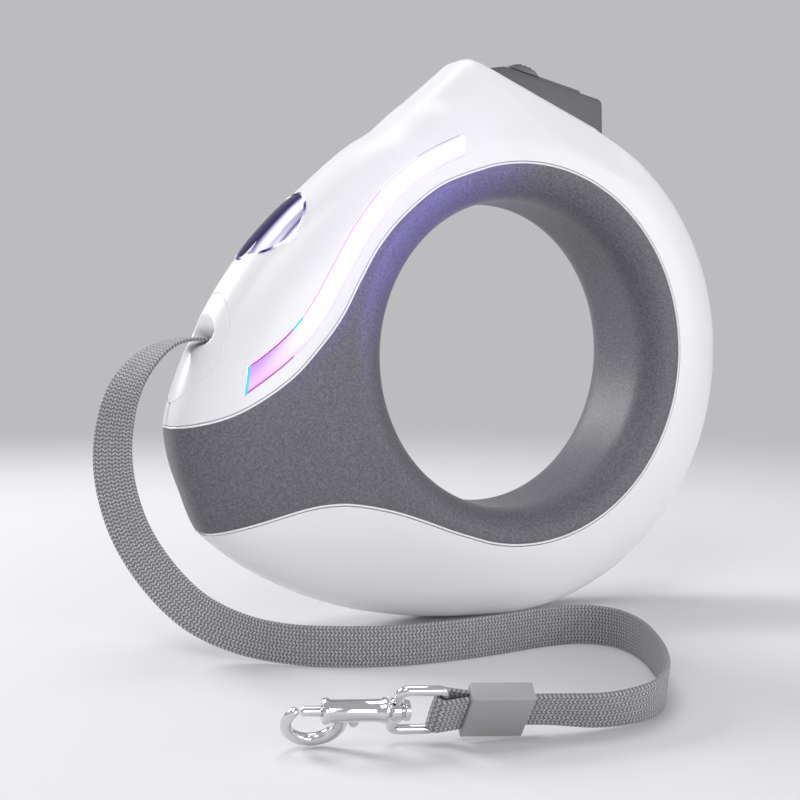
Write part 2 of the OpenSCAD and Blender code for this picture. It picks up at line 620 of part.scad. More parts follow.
// ---- hook chain: local X points along it, local Z across the tape
chain_at = [-47.2, -104.6, 6.25];        // where the tape enters the sleeve
chain_turn = [-38, -3.5, 165];           // lean towards the front, rise, heading
tape_in = 6;                             // how deep the tape reaches into the sleeve
slot_play = 0.15;
module on_chain() translate(chain_at) rotate([0, 0, chain_turn[2]]) rotate([0, chain_turn[1], 0])
    rotate([chain_turn[0], 0, 0]) children();
module block(x0, x1, y, z) translate([x0, -y, -z]) cube([x1 - x0, 2 * y, 2 * z]);
loop_in = 8;                             // where the loop's tails start inside the sleeve
bar_x = sleeve_l + 5;                    // bail's bar in the tape loop
far_x = bar_x + bail_l;                  // bail's far bar, which holds the swivel
barrel_x = far_x + 1.6;
bolt_r = 1;
eye_at = [barrel_x + barrel_l + 1, -3.8];
eye_mid = eye_r - hook_t / 2;
module tape_sleeve() color("gray") on_chain() difference() {
    block(0, sleeve_l, sleeve_t / 2, sleeve_w / 2);
    block(-1, tape_in + 0.3, tape_t / 2 + slot_play, tape_w / 2 + slot_play);
    block(tape_in + 0.8, sleeve_l + 1, tape_t + slot_play + 0.05, tape_w / 2 + slot_play);
}
module tape_loop() color("gray") on_chain() translate([0, 0, -tape_w / 2])
    linear_extrude(tape_w) difference() {
        union() {
            translate([bar_x, 0]) circle(bail_wire_r + 0.15 + tape_t);
            polygon([[loop_in, -tape_t - 0.05], [sleeve_l, -tape_t - 0.05],
                [bar_x - 0.6, -bail_wire_r - tape_t - 0.05], [bar_x - 0.6, bail_wire_r + tape_t + 0.05],
                [sleeve_l, tape_t + 0.05], [loop_in, tape_t + 0.05]]);
        }
        translate([bar_x, 0]) circle(bail_wire_r + 0.15);
    }
bail_half = sleeve_w / 2;                // from the middle of the bail to its side wires
module hook_bail() color("silver") on_chain() difference() {
    union() {
        for (x = [bar_x, far_x]) translate([x, 0, -bail_half]) cylinder(h = 2 * bail_half, r = bail_wire_r);
        for (z = [-bail_half, bail_half]) {
            translate([bar_x, 0, z]) rotate([0, 90, 0]) cylinder(h = bail_l, r = bail_wire_r);
            for (x = [bar_x, far_x]) translate([x, 0, z]) sphere(r = bail_wire_r);
        }
        translate([far_x - 1.2, 0, 0]) rotate([0, 90, 0]) cylinder(h = 2.4, r = neck_r + 1.35);
    }
    translate([far_x - 3, 0, 0]) rotate([0, 90, 0]) cylinder(h = 6, r = neck_r + running);
}
neck_r = 1.25;
bolt_back = barrel_x + 5.3;              // rear end of the gate bolt at rest
knob_x = bolt_back + 0.8;
knob_r = 0.8;
module along(x0, x1, r) translate([x0, 0, 0]) rotate([0, 90, 0]) cylinder(h = x1 - x0, r = r);
module hook_body() color("silver") on_chain() difference() {
    union() {
        along(far_x - 2.9, far_x - 1.6, 2.1);
        along(far_x - 1.7, barrel_x + 0.5, neck_r);
        along(barrel_x, barrel_x + barrel_l, barrel_r);
        along(barrel_x, barrel_x + 1, barrel_r + 0.25);
        along(barrel_x + barrel_l - 1.2, barrel_x + barrel_l, barrel_r + 0.25);
        translate([eye_at[0], 0, eye_at[1]]) rotate([90, 0, 0]) rotate([0, 0, 150])
            rotate_extrude(angle = 248) translate([eye_mid, 0]) circle(hook_t / 2);
        translate([eye_at[0] + eye_mid * cos(38), 0, eye_at[1] + eye_mid * sin(38)]) sphere(r = hook_t / 2);
    }
    along(barrel_x + 0.7, barrel_x + barrel_l + 1, bolt_r + running);
    translate([knob_x - knob_r - gate_travel - 0.2, -knob_r - 0.1, -barrel_r - 2])
        cube([2 * knob_r + gate_travel + 0.4, 2 * knob_r + 0.2, barrel_r + 2]);
}
module hook_gate() color("silver") on_chain() {
    along(bolt_back, eye_at[0] + 3.2, bolt_r);
    translate([knob_x, 0, -barrel_r - 1.5]) cylinder(h = barrel_r + 1.5, r = knob_r);
    translate([knob_x, 0, -barrel_r - 1.5]) sphere(r = knob_r + 0.25);
}
module gate_spring() color("silver") on_chain() translate([barrel_x + 0.75, 0, 0]) rotate([0, 90, 0])
    coil(0.75, 0.16, bolt_back - barrel_x - 0.8, 5, 4);

shell_front();
shell_back();
grip_front();
grip_back();
light_guide_front();
light_guide_back();
led_strip_front();
led_strip_back();
lamp_lens();
lamp_reflector();
lamp_led();
port_plate();
guide_pins();
brake_button();
lock_slider();
button_spring();
brake_lever();
lever_pin();
reel_spool();
reel_winding();
spring_cup();
recoil_spring();
reel_axle();
battery();
circuit_board();
light_switch();
housing_screws();
tape();
tape_sleeve();
tape_loop();
hook_bail();
hook_body();
hook_gate();
gate_spring();
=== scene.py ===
"""Visual model of a retractable tape leash with a ring-shaped body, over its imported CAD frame.

Sizes are in millimetres, as in the part's own source, and turn to metres when a mesh is made.
Body pieces are drawn round the middle of the finger hole, with the front on the -Y side.
"""

import logging
import math
from dataclasses import dataclass, field
from enum import Enum

import bmesh
import bpy
import numpy as np
from mathutils import Matrix, Vector
from mathutils.bvhtree import BVHTree

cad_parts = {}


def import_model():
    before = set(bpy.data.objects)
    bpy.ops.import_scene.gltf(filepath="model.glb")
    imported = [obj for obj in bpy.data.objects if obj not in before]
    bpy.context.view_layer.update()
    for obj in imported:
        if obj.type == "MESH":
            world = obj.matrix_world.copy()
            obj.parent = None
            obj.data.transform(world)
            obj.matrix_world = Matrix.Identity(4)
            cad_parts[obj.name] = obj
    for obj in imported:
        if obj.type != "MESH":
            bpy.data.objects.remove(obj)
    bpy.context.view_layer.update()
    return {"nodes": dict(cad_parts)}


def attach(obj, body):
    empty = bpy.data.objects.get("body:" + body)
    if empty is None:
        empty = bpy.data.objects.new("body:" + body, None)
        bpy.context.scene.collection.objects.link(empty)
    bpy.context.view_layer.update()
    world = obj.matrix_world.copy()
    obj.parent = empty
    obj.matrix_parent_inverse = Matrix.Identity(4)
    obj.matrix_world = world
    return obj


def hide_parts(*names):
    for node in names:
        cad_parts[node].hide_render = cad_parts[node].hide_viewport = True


log = logging.getLogger("leash")
MM = 0.001
IMAGE = 800
FAR = 40.0  # a length, in millimetres, that reaches clear of the body
Piece = bpy.types.Object
Socket = bpy.types.NodeSocket
Pair = tuple[float, float]
Array = np.ndarray
Material = bpy.types.Material


# ---------------------------------------------------------------- lines and meshes


def unit(rows: Array) -> Array:
    """Scales each row to length 1."""
    return rows / np.linalg.norm(rows, axis=-1, keepdims=True)


def spoke(angle: Array | float, radius: Array | float, y: Array | float = 0.0) -> Array:
    """Returns points at angles in degrees and radii round the Y axis."""
    a = np.radians(angle)
    return np.stack([radius * np.cos(a), y + 0 * a, radius * np.sin(a)], axis=-1)


def polar(flat: Array) -> tuple[Array, Array]:
    """Returns the angle, from -90 to 270 degrees, and the radius of each x, z."""
    angle = np.degrees(np.arctan2(flat[..., 1], flat[..., 0]))
    return np.where(angle < -90, angle + 360, angle), np.linalg.norm(flat, axis=-1)


def oval(a: float, b: float, count: int = 72) -> tuple[Array, Array]:
    """Returns both coordinates of points round an oval with these half lengths."""
    turn = np.linspace(0, 2 * np.pi, count, endpoint=False)
    return a * np.cos(turn), b * np.sin(turn)


def lengths(line: Array) -> Array:
    """Returns how far each point lies along a line."""
    return np.concatenate([[0], np.cumsum(np.linalg.norm(np.diff(line, axis=0), axis=1))])


def catmull(points: list | Array, steps: int) -> Array:
    """Returns a smooth line through points, with that many steps between two of them."""
    points = np.asarray(points, float)
    before = np.vstack([points[:1], points[:-1]])
    after = np.vstack([points[2:], points[-1:]])
    out = []
    for a, b, c, d in zip(before, points, points[1:], after):
        for s in np.arange(steps) / steps:
            out.append(0.5 * (2 * b + (c - a) * s + (2 * a - 5 * b + 4 * c - d) * s * s
                              + (3 * b - a - 3 * c + d) * s ** 3))
    return np.array(out + [points[-1]])


def make_active(obj: Piece) -> Piece:
    """Makes obj the only selected object and the active one."""
    bpy.ops.object.select_all(action="DESELECT")
    obj.select_set(True)
    bpy.context.view_layer.objects.active = obj
    return obj


def mesh_object(name: str, points: Array, faces: list) -> Piece:
    """Makes an object from points in millimetres.

    Args:
        name: the piece's name.
        points: x, y, z of each vertex, or of a grid of them, in the row frame.
        faces: vertex numbers of each face.

    Returns:
        The new object, at the origin.
    """
    mesh = bpy.data.meshes.new(name)
    points = np.asarray(points, float).reshape(-1, 3)
    mesh.from_pydata((points * MM).tolist(), [], [list(map(int, f)) for f in faces])
    mesh.validate()
    obj = bpy.data.objects.new(name, mesh)
    bpy.context.scene.collection.objects.link(obj)
    return obj


def lattice_faces(rows: int, cols: int, closed_rows: bool = False, closed_cols: bool = False,
                  capped: bool = False) -> list:
    """Lists the faces of a grid of points.

    Args:
        rows: number of rows in the grid.
        cols: number of points in each row.
        closed_rows: whether the last row joins the first.
        closed_cols: whether the last point of a row joins its first.
        capped: whether the first and the last row are faces too.

    Returns:
        Vertex numbers of each face.
    """
    faces = []
    for i in range(rows if closed_rows else rows - 1):
        k = (i + 1) % rows
        for j in range(cols if closed_cols else cols - 1):
            m = (j + 1) % cols
            faces.append((i * cols + j, k * cols + j, k * cols + m, i * cols + m))
    return faces + [range(cols), range((rows - 1) * cols, rows * cols)] * capped


def outward(obj: Piece) -> Piece:
    """Merges the equal points of a closed mesh and turns its faces outwards."""
    work = bmesh.new()
    work.from_mesh(obj.data)
    bmesh.ops.remove_doubles(work, verts=work.verts, dist=1e-7)
    bmesh.ops.recalc_face_normals(work, faces=work.faces)
    work.to_mesh(obj.data)
    work.free()
    return obj


def modify(obj: Piece, kind: str, **settings) -> Piece:
    """Adds a modifier of this type with these settings and applies it."""
    make_active(obj)
    modifier = obj.modifiers.new(kind.title(), kind)
    for name, value in settings.items():
        setattr(modifier, name, value)
    bpy.ops.object.modifier_apply(modifier=modifier.name)
    return obj


def thicken(obj: Piece, thickness: float) -> Piece:
    """Gives an open surface a thickness in millimetres, inwards from its outer face."""
    return modify(obj, "SOLIDIFY", thickness=thickness * MM, offset=-1)


def cut(obj: Piece, cutter: Piece, operation: str = "DIFFERENCE") -> Piece:
    """Cuts obj with a closed cutter, and removes the cutter."""
    modify(obj, "BOOLEAN", object=cutter, operation=operation, solver="MANIFOLD")
    bpy.data.objects.remove(cutter)
    return obj


def join(pieces: list, name: str) -> Piece:
    """Joins several objects into one of that name."""
    joined = make_active(pieces[0])
    for piece in pieces:
        piece.select_set(True)
    bpy.ops.object.join()
    joined.name = joined.data.name = name
    return joined


def bake_place(obj: Piece, place: Matrix) -> Piece:
    """Moves the mesh by a matrix whose lengths are metres and leaves the object at the origin."""
    obj.data.transform(place @ obj.matrix_world)
    obj.matrix_world = Matrix.Identity(4)
    obj.data.update()
    return obj


def shift(x: float, y: float, z: float) -> Matrix:
    """Returns a move by millimetres."""
    return Matrix.Translation(Vector((x, y, z)) * MM)


def spin(degrees: float, axis: str) -> Matrix:
    """Returns a turn round one of the axes."""
    return Matrix.Rotation(math.radians(degrees), 4, axis)


def prism(name: str, outline: list, y0: float, y1: float, bevel: float = 0.0, steps: int = 3) -> Piece:
    """Extrudes an outline drawn in X and Z between two depths along Y.

    Args:
        name: the piece's name.
        outline: x, z of each corner in millimetres.
        y0: first depth in millimetres.
        y1: last depth in millimetres.
        bevel: width of the rounded edges in millimetres, none at 0.
        steps: segments across a rounded edge.

    Returns:
        The closed piece, around the origin.
    """
    points = [(x, y, z) for y in (y0, y1) for x, z in outline]
    obj = outward(mesh_object(name, points, lattice_faces(2, len(outline), closed_cols=True, capped=True)))
    if bevel:
        modify(obj, "BEVEL", width=bevel * MM, segments=steps, limit_method="ANGLE",
               angle_limit=math.radians(20), harden_normals=False)
    return obj


def turned(name: str, profile: list, steps: int = 64) -> Piece:
    """Spins a profile round the X axis, as on a lathe.

    Args:
        name: the piece's name.
        profile: x, radius of each point in millimetres; ends at radius 0 are closed poles.
        steps: points round the axis.

    Returns:
        The closed piece.
    """
    y, z = oval(1, 1, steps)
    points = [(x, r * c, r * s) for c, s in zip(y, z) for x, r in profile]
    return outward(mesh_object(name, points, lattice_faces(steps, len(profile), closed_rows=True)))


def swept(name: str, line: Array, radii: Array | float, sides: int, up: tuple,
          closed: bool = False) -> Piece:
    """Sweeps a round section along a line.

    Args:
        name: the piece's name.
        line: the centre line's points in millimetres.
        radii: the section's radius, or one for each point.
        sides: points round the section.
        up: direction that one axis of the section keeps to.
        closed: whether the line's end joins its start, without caps.

    Returns:
        The closed piece.
    """
    if closed:
        ahead = unit(np.roll(line, -1, axis=0) - np.roll(line, 1, axis=0))
    else:
        ahead = unit(np.gradient(line, axis=0))
    first = unit(np.cross(ahead, np.array(up, float)))
    second = np.cross(ahead, first)
    ring = np.stack(oval(1, 1, sides), axis=1)
    turn = ring[None, :, :1] * first[:, None] + ring[None, :, 1:] * second[:, None]
    rings = line[:, None] + np.resize(radii, len(line))[:, None, None] * turn
    return outward(mesh_object(name, rings, lattice_faces(len(line), sides, closed, True, not closed)))


def lay_map(piece: Piece, name: str, u: Array, v: Array) -> None:
    """Gives a piece made from a lattice a UV map, with U along its rows and V along its columns."""
    layer = piece.data.uv_layers.new(name=name)
    for corner in piece.data.loops:
        i, j = divmod(corner.vertex_index, len(v))
        layer.data[corner.index].uv = (u[i], v[j])


def woven(name: str, line: Array, wide: Array, thick: Array, section: Array) -> Piece:
    """Sweeps a strip's section along a line and lays the weave's map, in centimetres, on it.

    Args:
        name: the piece's name.
        line: the centre line's points in millimetres.
        wide: direction across the strip, or one for each point.
        thick: direction through the strip at each point.
        section: how far each point of the section lies along wide and thick, in millimetres.

    Returns:
        The closed strip.
    """
    wide = np.broadcast_to(wide, line.shape)
    rings = line[:, None] + section[None, :, :1] * wide[:, None] + section[None, :, 1:] * thick[:, None]
    piece = mesh_object(name, rings, lattice_faces(len(line), len(section), closed_cols=True, capped=True))
    lay_map(piece, "weave", lengths(line) / 10, (section[:, 0] - section[:, 0].min()) / 10)
    return outward(piece)


# ---------------------------------------------------------------- materials


def srgb(code: str) -> tuple[float, float, float, float]:
    """Turns a hex colour as the eye sees it into Blender's linear one."""
    values = [int(code[i:i + 2], 16) / 255 for i in (1, 3, 5)]
    linear = [v / 12.92 if v <= 0.04045 else ((v + 0.055) / 1.055) ** 2.4 for v in values]
    return (*linear, 1.0)


class Net:
    """Node tree of a material or of the world, with short calls for the nodes used most."""

    def __init__(self, owner: Material | bpy.types.World) -> None:
        """Empties the owner's tree."""
        owner.use_nodes = True
        self.owner, self.tree = owner, owner.node_tree
        self.tree.nodes.clear()

    def add(self, kind: str, sockets: dict | None = None, **settings) -> bpy.types.Node:
        """Adds a shader node.

        Args:
            kind: Blender's name of the node's type, without its ShaderNode.
            sockets: for each input, by name or number, a value or the output that feeds it.
            **settings: the node's own values, such as its operation.

        Returns:
            The new node.
        """
        node = self.tree.nodes.new("ShaderNode" + kind)
        for name, value in settings.items():
            setattr(node, name, value)
        for key, value in (sockets or {}).items():
            if isinstance(value, Socket):
                self.tree.links.new(value, node.inputs[key])
            else:
                node.inputs[key].default_value = value
        return node

    def math(self, operation: str, *values: Socket | float) -> Socket:
        """Works one sum out of up to three values."""
        return self.add("Math", dict(enumerate(values)), operation=operation).outputs[0]

    def mix(self, share: Socket, a: Socket | tuple, b: Socket | tuple) -> Socket:
        """Mixes two colours."""
        return self.add("Mix", {"Factor": share, "A": a, "B": b}, data_type="RGBA").outputs["Result"]

    def remap(self, value: Socket, low: float, high: float, to_low: float = 0.0, to_high: float = 1.0,
              **settings) -> Socket:
        """Maps the values from low to high onto another range."""
        return self.add("MapRange", {"Value": value, "From Min": low, "From Max": high, "To Min": to_low,
                                     "To Max": to_high}, **settings).outputs["Result"]

    def place(self) -> Socket:
        """Returns the place on the object's own axes, in metres."""
        return self.add("TexCoord").outputs["Object"]

    def noise(self, size_mm: float, detail: float = 2.0) -> Socket:
        """Adds noise of a real size on the object's own axes."""
        return self.add("TexNoise", {"Vector": self.place(), "Scale": 1 / (size_mm * MM),
                                     "Detail": detail}).outputs["Fac"]

    def bump(self, height: Socket, strength: float, depth_mm: float) -> Socket:
        """Turns a height into a bent normal."""
        return self.add("Bump", {"Height": height, "Strength": strength,
                                 "Distance": depth_mm * MM}).outputs["Normal"]

    def parts(self, vector: Socket) -> bpy.types.NodeOutputs:
        """Splits a vector into its outputs X, Y and Z."""
        return self.add("SeparateXYZ", {0: vector}).outputs

    def on_map(self, name: str) -> bpy.types.NodeOutputs:
        """Returns U as X and V as Y of one of the piece's own maps."""
        return self.parts(self.add("UVMap", uv_map=name).outputs["UV"])

    def aside(self, half_mm: float) -> Socket:
        """Returns the distance from the middle plane, as a part of half_mm."""
        return self.math("MULTIPLY", self.math("ABSOLUTE", self.parts(self.place())["Y"]), 1 / (half_mm * MM))

    def ramp(self, value: Socket, stops: tuple) -> Socket:
        """Adds a colour ramp through stops, the first of them at 0 and the last at 1."""
        node = self.add("ValToRGB", {"Fac": value})
        elements = node.color_ramp.elements
        elements[0].color = srgb(stops[0][1])
        elements[1].position = 1.0
        elements[1].color = srgb(stops[-1][1])
        for position, code in stops[1:-1]:
            elements.new(position).color = srgb(code)
        return node.outputs["Color"]

    def surface(self, inputs: dict) -> Material:
        """Ends the tree in a Principled shader with these inputs, and returns the material."""
        shader = self.add("BsdfPrincipled", inputs)
        self.add("OutputMaterial", {"Surface": shader.outputs["BSDF"]})
        return self.owner


def blank(name: str) -> Net:
    """Starts a new material."""
    return Net(bpy.data.materials.new(name))


def dress(obj: Piece, material: Material) -> Piece:
    """Gives obj this material in place of its own."""
    obj.data.materials.clear()
    obj.data.materials.append(material)
    return obj


@dataclass(frozen=True)
class MouldedPlastic:
    """Injection-moulded plastic: an even colour with a faint cloud in it, and a moulded grain."""

    name: str
    colour: str
    clouded: str
    roughness: float
    grain_mm: float = 0.5
    grain_depth_mm: float = 0.004
    coat: float = 0.0
    sheen: float = 0.0
    # strength of the light guide's light, painted on as emission where the glow attribute says
    glow: float = 0.0
    glow_colour: str = "#d9cdff"
    # how much darker the grain's pits are painted, as shade
    painted_pit_shade: float = 0.0
    cloud_mm: float = 35.0

    def material(self) -> Material:
        """Builds the material, with its patterns at their real size."""
        net = blank(self.name)
        cloud, grain = net.noise(self.cloud_mm, 3.0), net.noise(self.grain_mm)
        colour = net.mix(cloud, srgb(self.colour), srgb(self.clouded))
        if self.painted_pit_shade:
            # painted shade: the grain's pits are darker than its tips
            pits = net.remap(grain, 0.35, 0.65, 1 - self.painted_pit_shade, 1 + self.painted_pit_shade)
            colour = net.add("VectorMath", {0: colour, "Scale": pits}, operation="SCALE").outputs["Vector"]
        inputs = {
            "Base Color": colour, "Normal": net.bump(grain, 0.6, self.grain_depth_mm),
            "Roughness": net.remap(cloud, 0.0, 1.0, self.roughness * 0.85, self.roughness * 1.15),
            "IOR": 1.5, "Coat Weight": self.coat, "Coat Roughness": 0.08,
            "Sheen Weight": self.sheen, "Sheen Roughness": 0.4,
        }
        if self.glow:
            # painted light: the guide's light that leaves it sideways, painted on as emission that tints the plastic
            # round it
            near = net.add("Attribute", attribute_name="glow").outputs["Fac"]
            inputs["Emission Strength"] = net.math("MULTIPLY", near, self.glow)
            inputs["Emission Color"] = srgb(self.glow_colour)
        return net.surface(inputs)


@dataclass(frozen=True)
class PlatedMetal:
    """Plated or drawn metal: bright, with fine marks from polishing or handling."""

    name: str
    colour: str
    worn: str
    roughness: float
    mark_mm: float = 0.8
    mark_depth_mm: float = 0.002
    wear_mm: float = 6.0

    def material(self) -> Material:
        """Builds the material, whose marks change its gloss a little."""
        net = blank(self.name)
        marks = net.noise(self.mark_mm, 4.0)
        return net.surface({
            "Base Color": net.mix(net.noise(self.wear_mm, 3.0), srgb(self.colour), srgb(self.worn)),
            "Roughness": net.remap(marks, 0.0, 1.0, self.roughness * 0.6, self.roughness * 1.5),
            "Normal": net.bump(marks, 0.4, self.mark_depth_mm), "Metallic": 1.0})


@dataclass(frozen=True)
class WovenTape:
    """Flat nylon webbing: two rows of slanting threads that meet in the middle of the tape."""

    name: str = "woven_nylon_webbing"
    thread: str = "#f0f0f2"
    shade: str = "#626264"
    thread_mm: float = 0.95
    row_mm: float = 0.84
    depth_mm: float = 0.25
    lean: float = 0.6
    fuzz_mm: float = 0.6

    def material(self) -> Material:
        """Builds the weave on the piece's own UV map, which counts centimetres."""
        net = blank(self.name)
        spread = net.on_map("weave")
        rows = net.math("MULTIPLY", spread["Y"], 10 / self.row_mm)
        lean = net.math("MULTIPLY", net.math("PINGPONG", rows, 1.0), self.lean)
        along = net.math("MULTIPLY_ADD", spread["X"], 10 / self.thread_mm, lean)
        wave = net.math("SINE", net.math("MULTIPLY", along, 2 * math.pi))
        ridge = net.math("PINGPONG", net.math("MULTIPLY", rows, 2.0), 1.0)
        dash = net.remap(ridge, 0.0, 0.6, 0.25)
        stitch = net.math("MULTIPLY", net.remap(wave, -1.0, 1.0), dash)
        mixed = net.math("MULTIPLY", stitch, net.noise(self.fuzz_mm, 3.0))
        return net.surface({"Base Color": net.mix(mixed, srgb(self.shade), srgb(self.thread)),
                            "Normal": net.bump(mixed, 0.8, self.depth_mm), "Roughness": 0.75,
                            "Sheen Weight": 0.25})


@dataclass(frozen=True)
class LitGuide:
    """Frosted acrylic lit from the fin end: white there, and violet between magenta edges at the nose.

    U runs from the fin end (0) to the nose end (1) and V across, from the outer edge to the hole.
    """

    name: str = "lit_acrylic_light_guide"
    white: tuple = ((0.0, "#ece5ff"), (0.14, "#fdfbff"), (0.3, "#ffffff"), (0.75, "#ffffff"), (0.9, "#fdf2ff"),
                    (1.0, "#eddcff"))
    violet: tuple = ((0.0, "#c9a0f3"), (0.3, "#dba9f5"), (0.6, "#e8b4f7"), (0.85, "#f0c2fa"), (1.0, "#eab4f6"))
    turns: Pair = (0.76, 0.95)
    # two values of U, two of V and the colour between them
    patches: tuple = (
        (0.33, 0.78, 0.0, 0.045, "#f3a9d6"), (0.82, 1.0, 0.0, 0.065, "#b81c96"),
        (0.83, 1.0, 0.935, 1.0, "#b81c96"), (0.778, 0.826, 0.0, 0.08, "#38dcea"), (0.99, 1.1, 0.0, 1.0, "#38dcea"))

    def material(self) -> Material:
        """Builds the glow from the piece's own UV map."""
        net = blank(self.name)
        spread = net.on_map("glow")
        u, v = spread["X"], spread["Y"]
        colour = net.mix(net.remap(u, *self.turns), net.ramp(v, self.white), net.ramp(v, self.violet))
        for start, end, low, high, code in self.patches:
            along = net.math("MULTIPLY", net.math("GREATER_THAN", u, start), net.math("LESS_THAN", u, end))
            across = net.math("COMPARE", v, (low + high) / 2, (high - low) / 2)
            colour = net.mix(net.math("MULTIPLY", along, across), colour, srgb(code))
        return net.surface({"Emission Color": colour, "Base Color": srgb("#1c1c20"), "Emission Strength": 1.0,
                            "Roughness": 0.25, "IOR": 1.49})


@dataclass(frozen=True)
class LampDish:
    """Metallised dish behind the lens with painted light: painted highlights as silver flutes on both sides of a dark
    violet middle of painted shade.
    """

    name: str = "metallised_reflector_painted_reflections"
    painted_light_bands: tuple = ((0.0, "#150e3e"), (0.2, "#1d1550"), (0.29, "#7a70a8"), (0.38, "#f2f1f8"), (0.66, "#fbfbfe"),
                    (0.74, "#7d74a8"), (0.81, "#1f1752"), (0.9, "#6e669a"), (1.0, "#dddce6"))
    half_mm: float = 11.2
    flute_mm: float = 3.0

    def material(self) -> Material:
        """Builds the bands of painted highlight and painted shade on the distance from the middle plane, broken up by
        fine flutes.
        """
        net = blank(self.name)
        share = net.math("MULTIPLY_ADD", net.noise(self.flute_mm), 0.12, net.aside(self.half_mm))
        painted_light_bands = net.ramp(share, self.painted_light_bands)
        # painted light: the dish glows with its bands, though it is no lamp
        return net.surface({"Base Color": painted_light_bands, "Emission Color": painted_light_bands, "Emission Strength": 0.55,
                            "Metallic": 1.0, "Roughness": 0.2})


@dataclass(frozen=True)
class ClearLens:
    """Polished lens, partly clear, with painted light on it: painted highlights over its flutes, and painted shade in
    dark violet where it shows the lamp's deep cavity.
    """

    name: str = "clear_polycarbonate_lens"
    # painted highlights and painted shade across the lens, for its upper and its lower part
    upper: tuple = ((0.0, "#120b38"), (0.4, "#1c1450"), (0.47, "#8f88b0"), (0.54, "#f2f1f7"), (0.72, "#fafafd"),
                    (0.79, "#857dac"), (0.85, "#1d1550"), (0.93, "#2b2264"), (0.965, "#dbd9e6"), (1.0, "#f2f2f6"))
    lower: tuple = ((0.0, "#120b38"), (0.38, "#1c1450"), (0.45, "#9891b4"), (0.56, "#e9e8ef"), (0.7, "#cfcdd9"),
                    (0.8, "#a9a6b8"), (0.87, "#e8e7ee"), (0.92, "#7b7496"), (0.96, "#dbd9e6"), (1.0, "#f2f2f6"))
    half_mm: float = 11.2
    blend_mm: Pair = (100.0, 114.0)
    ripple_mm: float = 5.0

    def material(self) -> Material:
        """Builds the tinted, self-lit bands of painted highlight and painted shade under a polished surface with a
        moulding's faint ripple.
        """
        net = blank(self.name)
        share = net.aside(self.half_mm)
        height = net.remap(net.parts(net.place())["Z"], *(v * MM for v in self.blend_mm))
        painted_light_bands = net.mix(height, net.ramp(share, self.lower), net.ramp(share, self.upper))
        # painted light: the lens glows with its bands, though it is no lamp
        return net.surface({"Base Color": painted_light_bands, "Emission Color": painted_light_bands, "Emission Strength": 0.5,
                            "Normal": net.bump(net.noise(self.ripple_mm), 0.3, 0.02), "Roughness": 0.04,
                            "IOR": 1.2, "Transmission Weight": 0.55})


@dataclass(frozen=True)
class LampGlow:
    """Phosphor of a lit LED: a strong even light with a softer rim."""

    name: str = "lit_led_phosphor"
    colour: str = "#8a6cf5"
    pale: str = "#c9bbff"
    strength: float = 4.0
    spot_mm: float = 1.2

    def material(self) -> Material:
        """Builds the glow, a little uneven over the phosphor."""
        net = blank(self.name)
        colour = net.mix(net.noise(self.spot_mm), srgb(self.colour), srgb(self.pale))
        return net.surface({"Base Color": colour, "Emission Color": colour, "Emission Strength": self.strength})


class Finish(Enum):
    """Finishes of the leash's own pieces."""

    # glow paints the light guide's light on the shell, bead and grip as emission
    SHELL = MouldedPlastic("glossy_white_abs", "#ececef", "#e8e8eb", 0.32, 0.9, 0.002, coat=0.12, glow=0.14)
    BEAD = MouldedPlastic("glossy_white_abs_bead", "#f3f3f5", "#f0f0f2", 0.2, 0.9, 0.002, glow=0.3)
    # elastomer moulded over the shells: matt, with a spark-eroded grain drawn a little coarse
    GRIP = MouldedPlastic("soft_touch_tpe", "#64636a", "#5f5e65", 0.5, 0.55, 0.16, sheen=0.1, glow=0.42,
                          glow_colour="#7f62ff", painted_pit_shade=0.28)
    BUTTON = MouldedPlastic("satin_grey_abs", "#56555b", "#504f55", 0.38, 0.7, 0.01)
    SLIDER = MouldedPlastic("satin_grey_abs_slider", "#5e5d63", "#58575d", 0.34, 0.7, 0.01)
    INNER = MouldedPlastic("black_nylon", "#2b2b2e", "#333337", 0.45, 0.6, 0.02)
    WOUND = MouldedPlastic("wound_nylon_webbing", "#8c8c8e", "#7c7c7e", 0.75, 0.6, 0.05, sheen=0.25, painted_pit_shade=0.2)
    SLEEVE = MouldedPlastic("moulded_grey_nylon", "#a0a0a1", "#9a9a9b", 0.42, 0.5, 0.02)
    BOARD = MouldedPlastic("green_solder_mask", "#1f6b3c", "#1a5c34", 0.3, 0.4, 0.01)
    CELL = MouldedPlastic("blue_heat_shrink", "#2f5d9a", "#2a538a", 0.3, 0.9, 0.01)
    CHROME = PlatedMetal("chrome_plated_zinc", "#e2e2e4", "#d2d2d5", 0.07)
    STEEL = PlatedMetal("zinc_plated_steel", "#c4c4c8", "#a9a9ae", 0.28, 0.4, 0.006)
    REFLECTOR = LampDish()
    TAPE = WovenTape()
    GUIDE = LitGuide()
    LENS = ClearLens()
    LED = LampGlow()


class Palette:
    """Builds each finish once, the first time that a piece asks for it."""

    def __init__(self) -> None:
        """Starts with no material made."""
        self._made: dict[Finish, Material] = {}

    def __getitem__(self, finish: Finish) -> Material:
        """Returns the material of a finish."""
        if finish not in self._made:
            self._made[finish] = finish.value.material()
        return self._made[finish]

    def done(self, piece: Piece, finish: Finish, angle: float, place: Matrix | None = None) -> Piece:
        """Finishes a piece.

        Args:
            piece: the piece.
            finish: what it is dressed in.
            angle: the angle in degrees past which an edge stays sharp.
            place: where it goes, in metres, if it isn't there yet.

        Returns:
            The same piece.
        """
        if place is not None:
            bake_place(piece, place)
        make_active(dress(piece, self[finish]))
        bpy.ops.object.shade_smooth_by_angle(angle=math.radians(angle))
        return piece


# ---------------------------------------------------------------- camera and image points


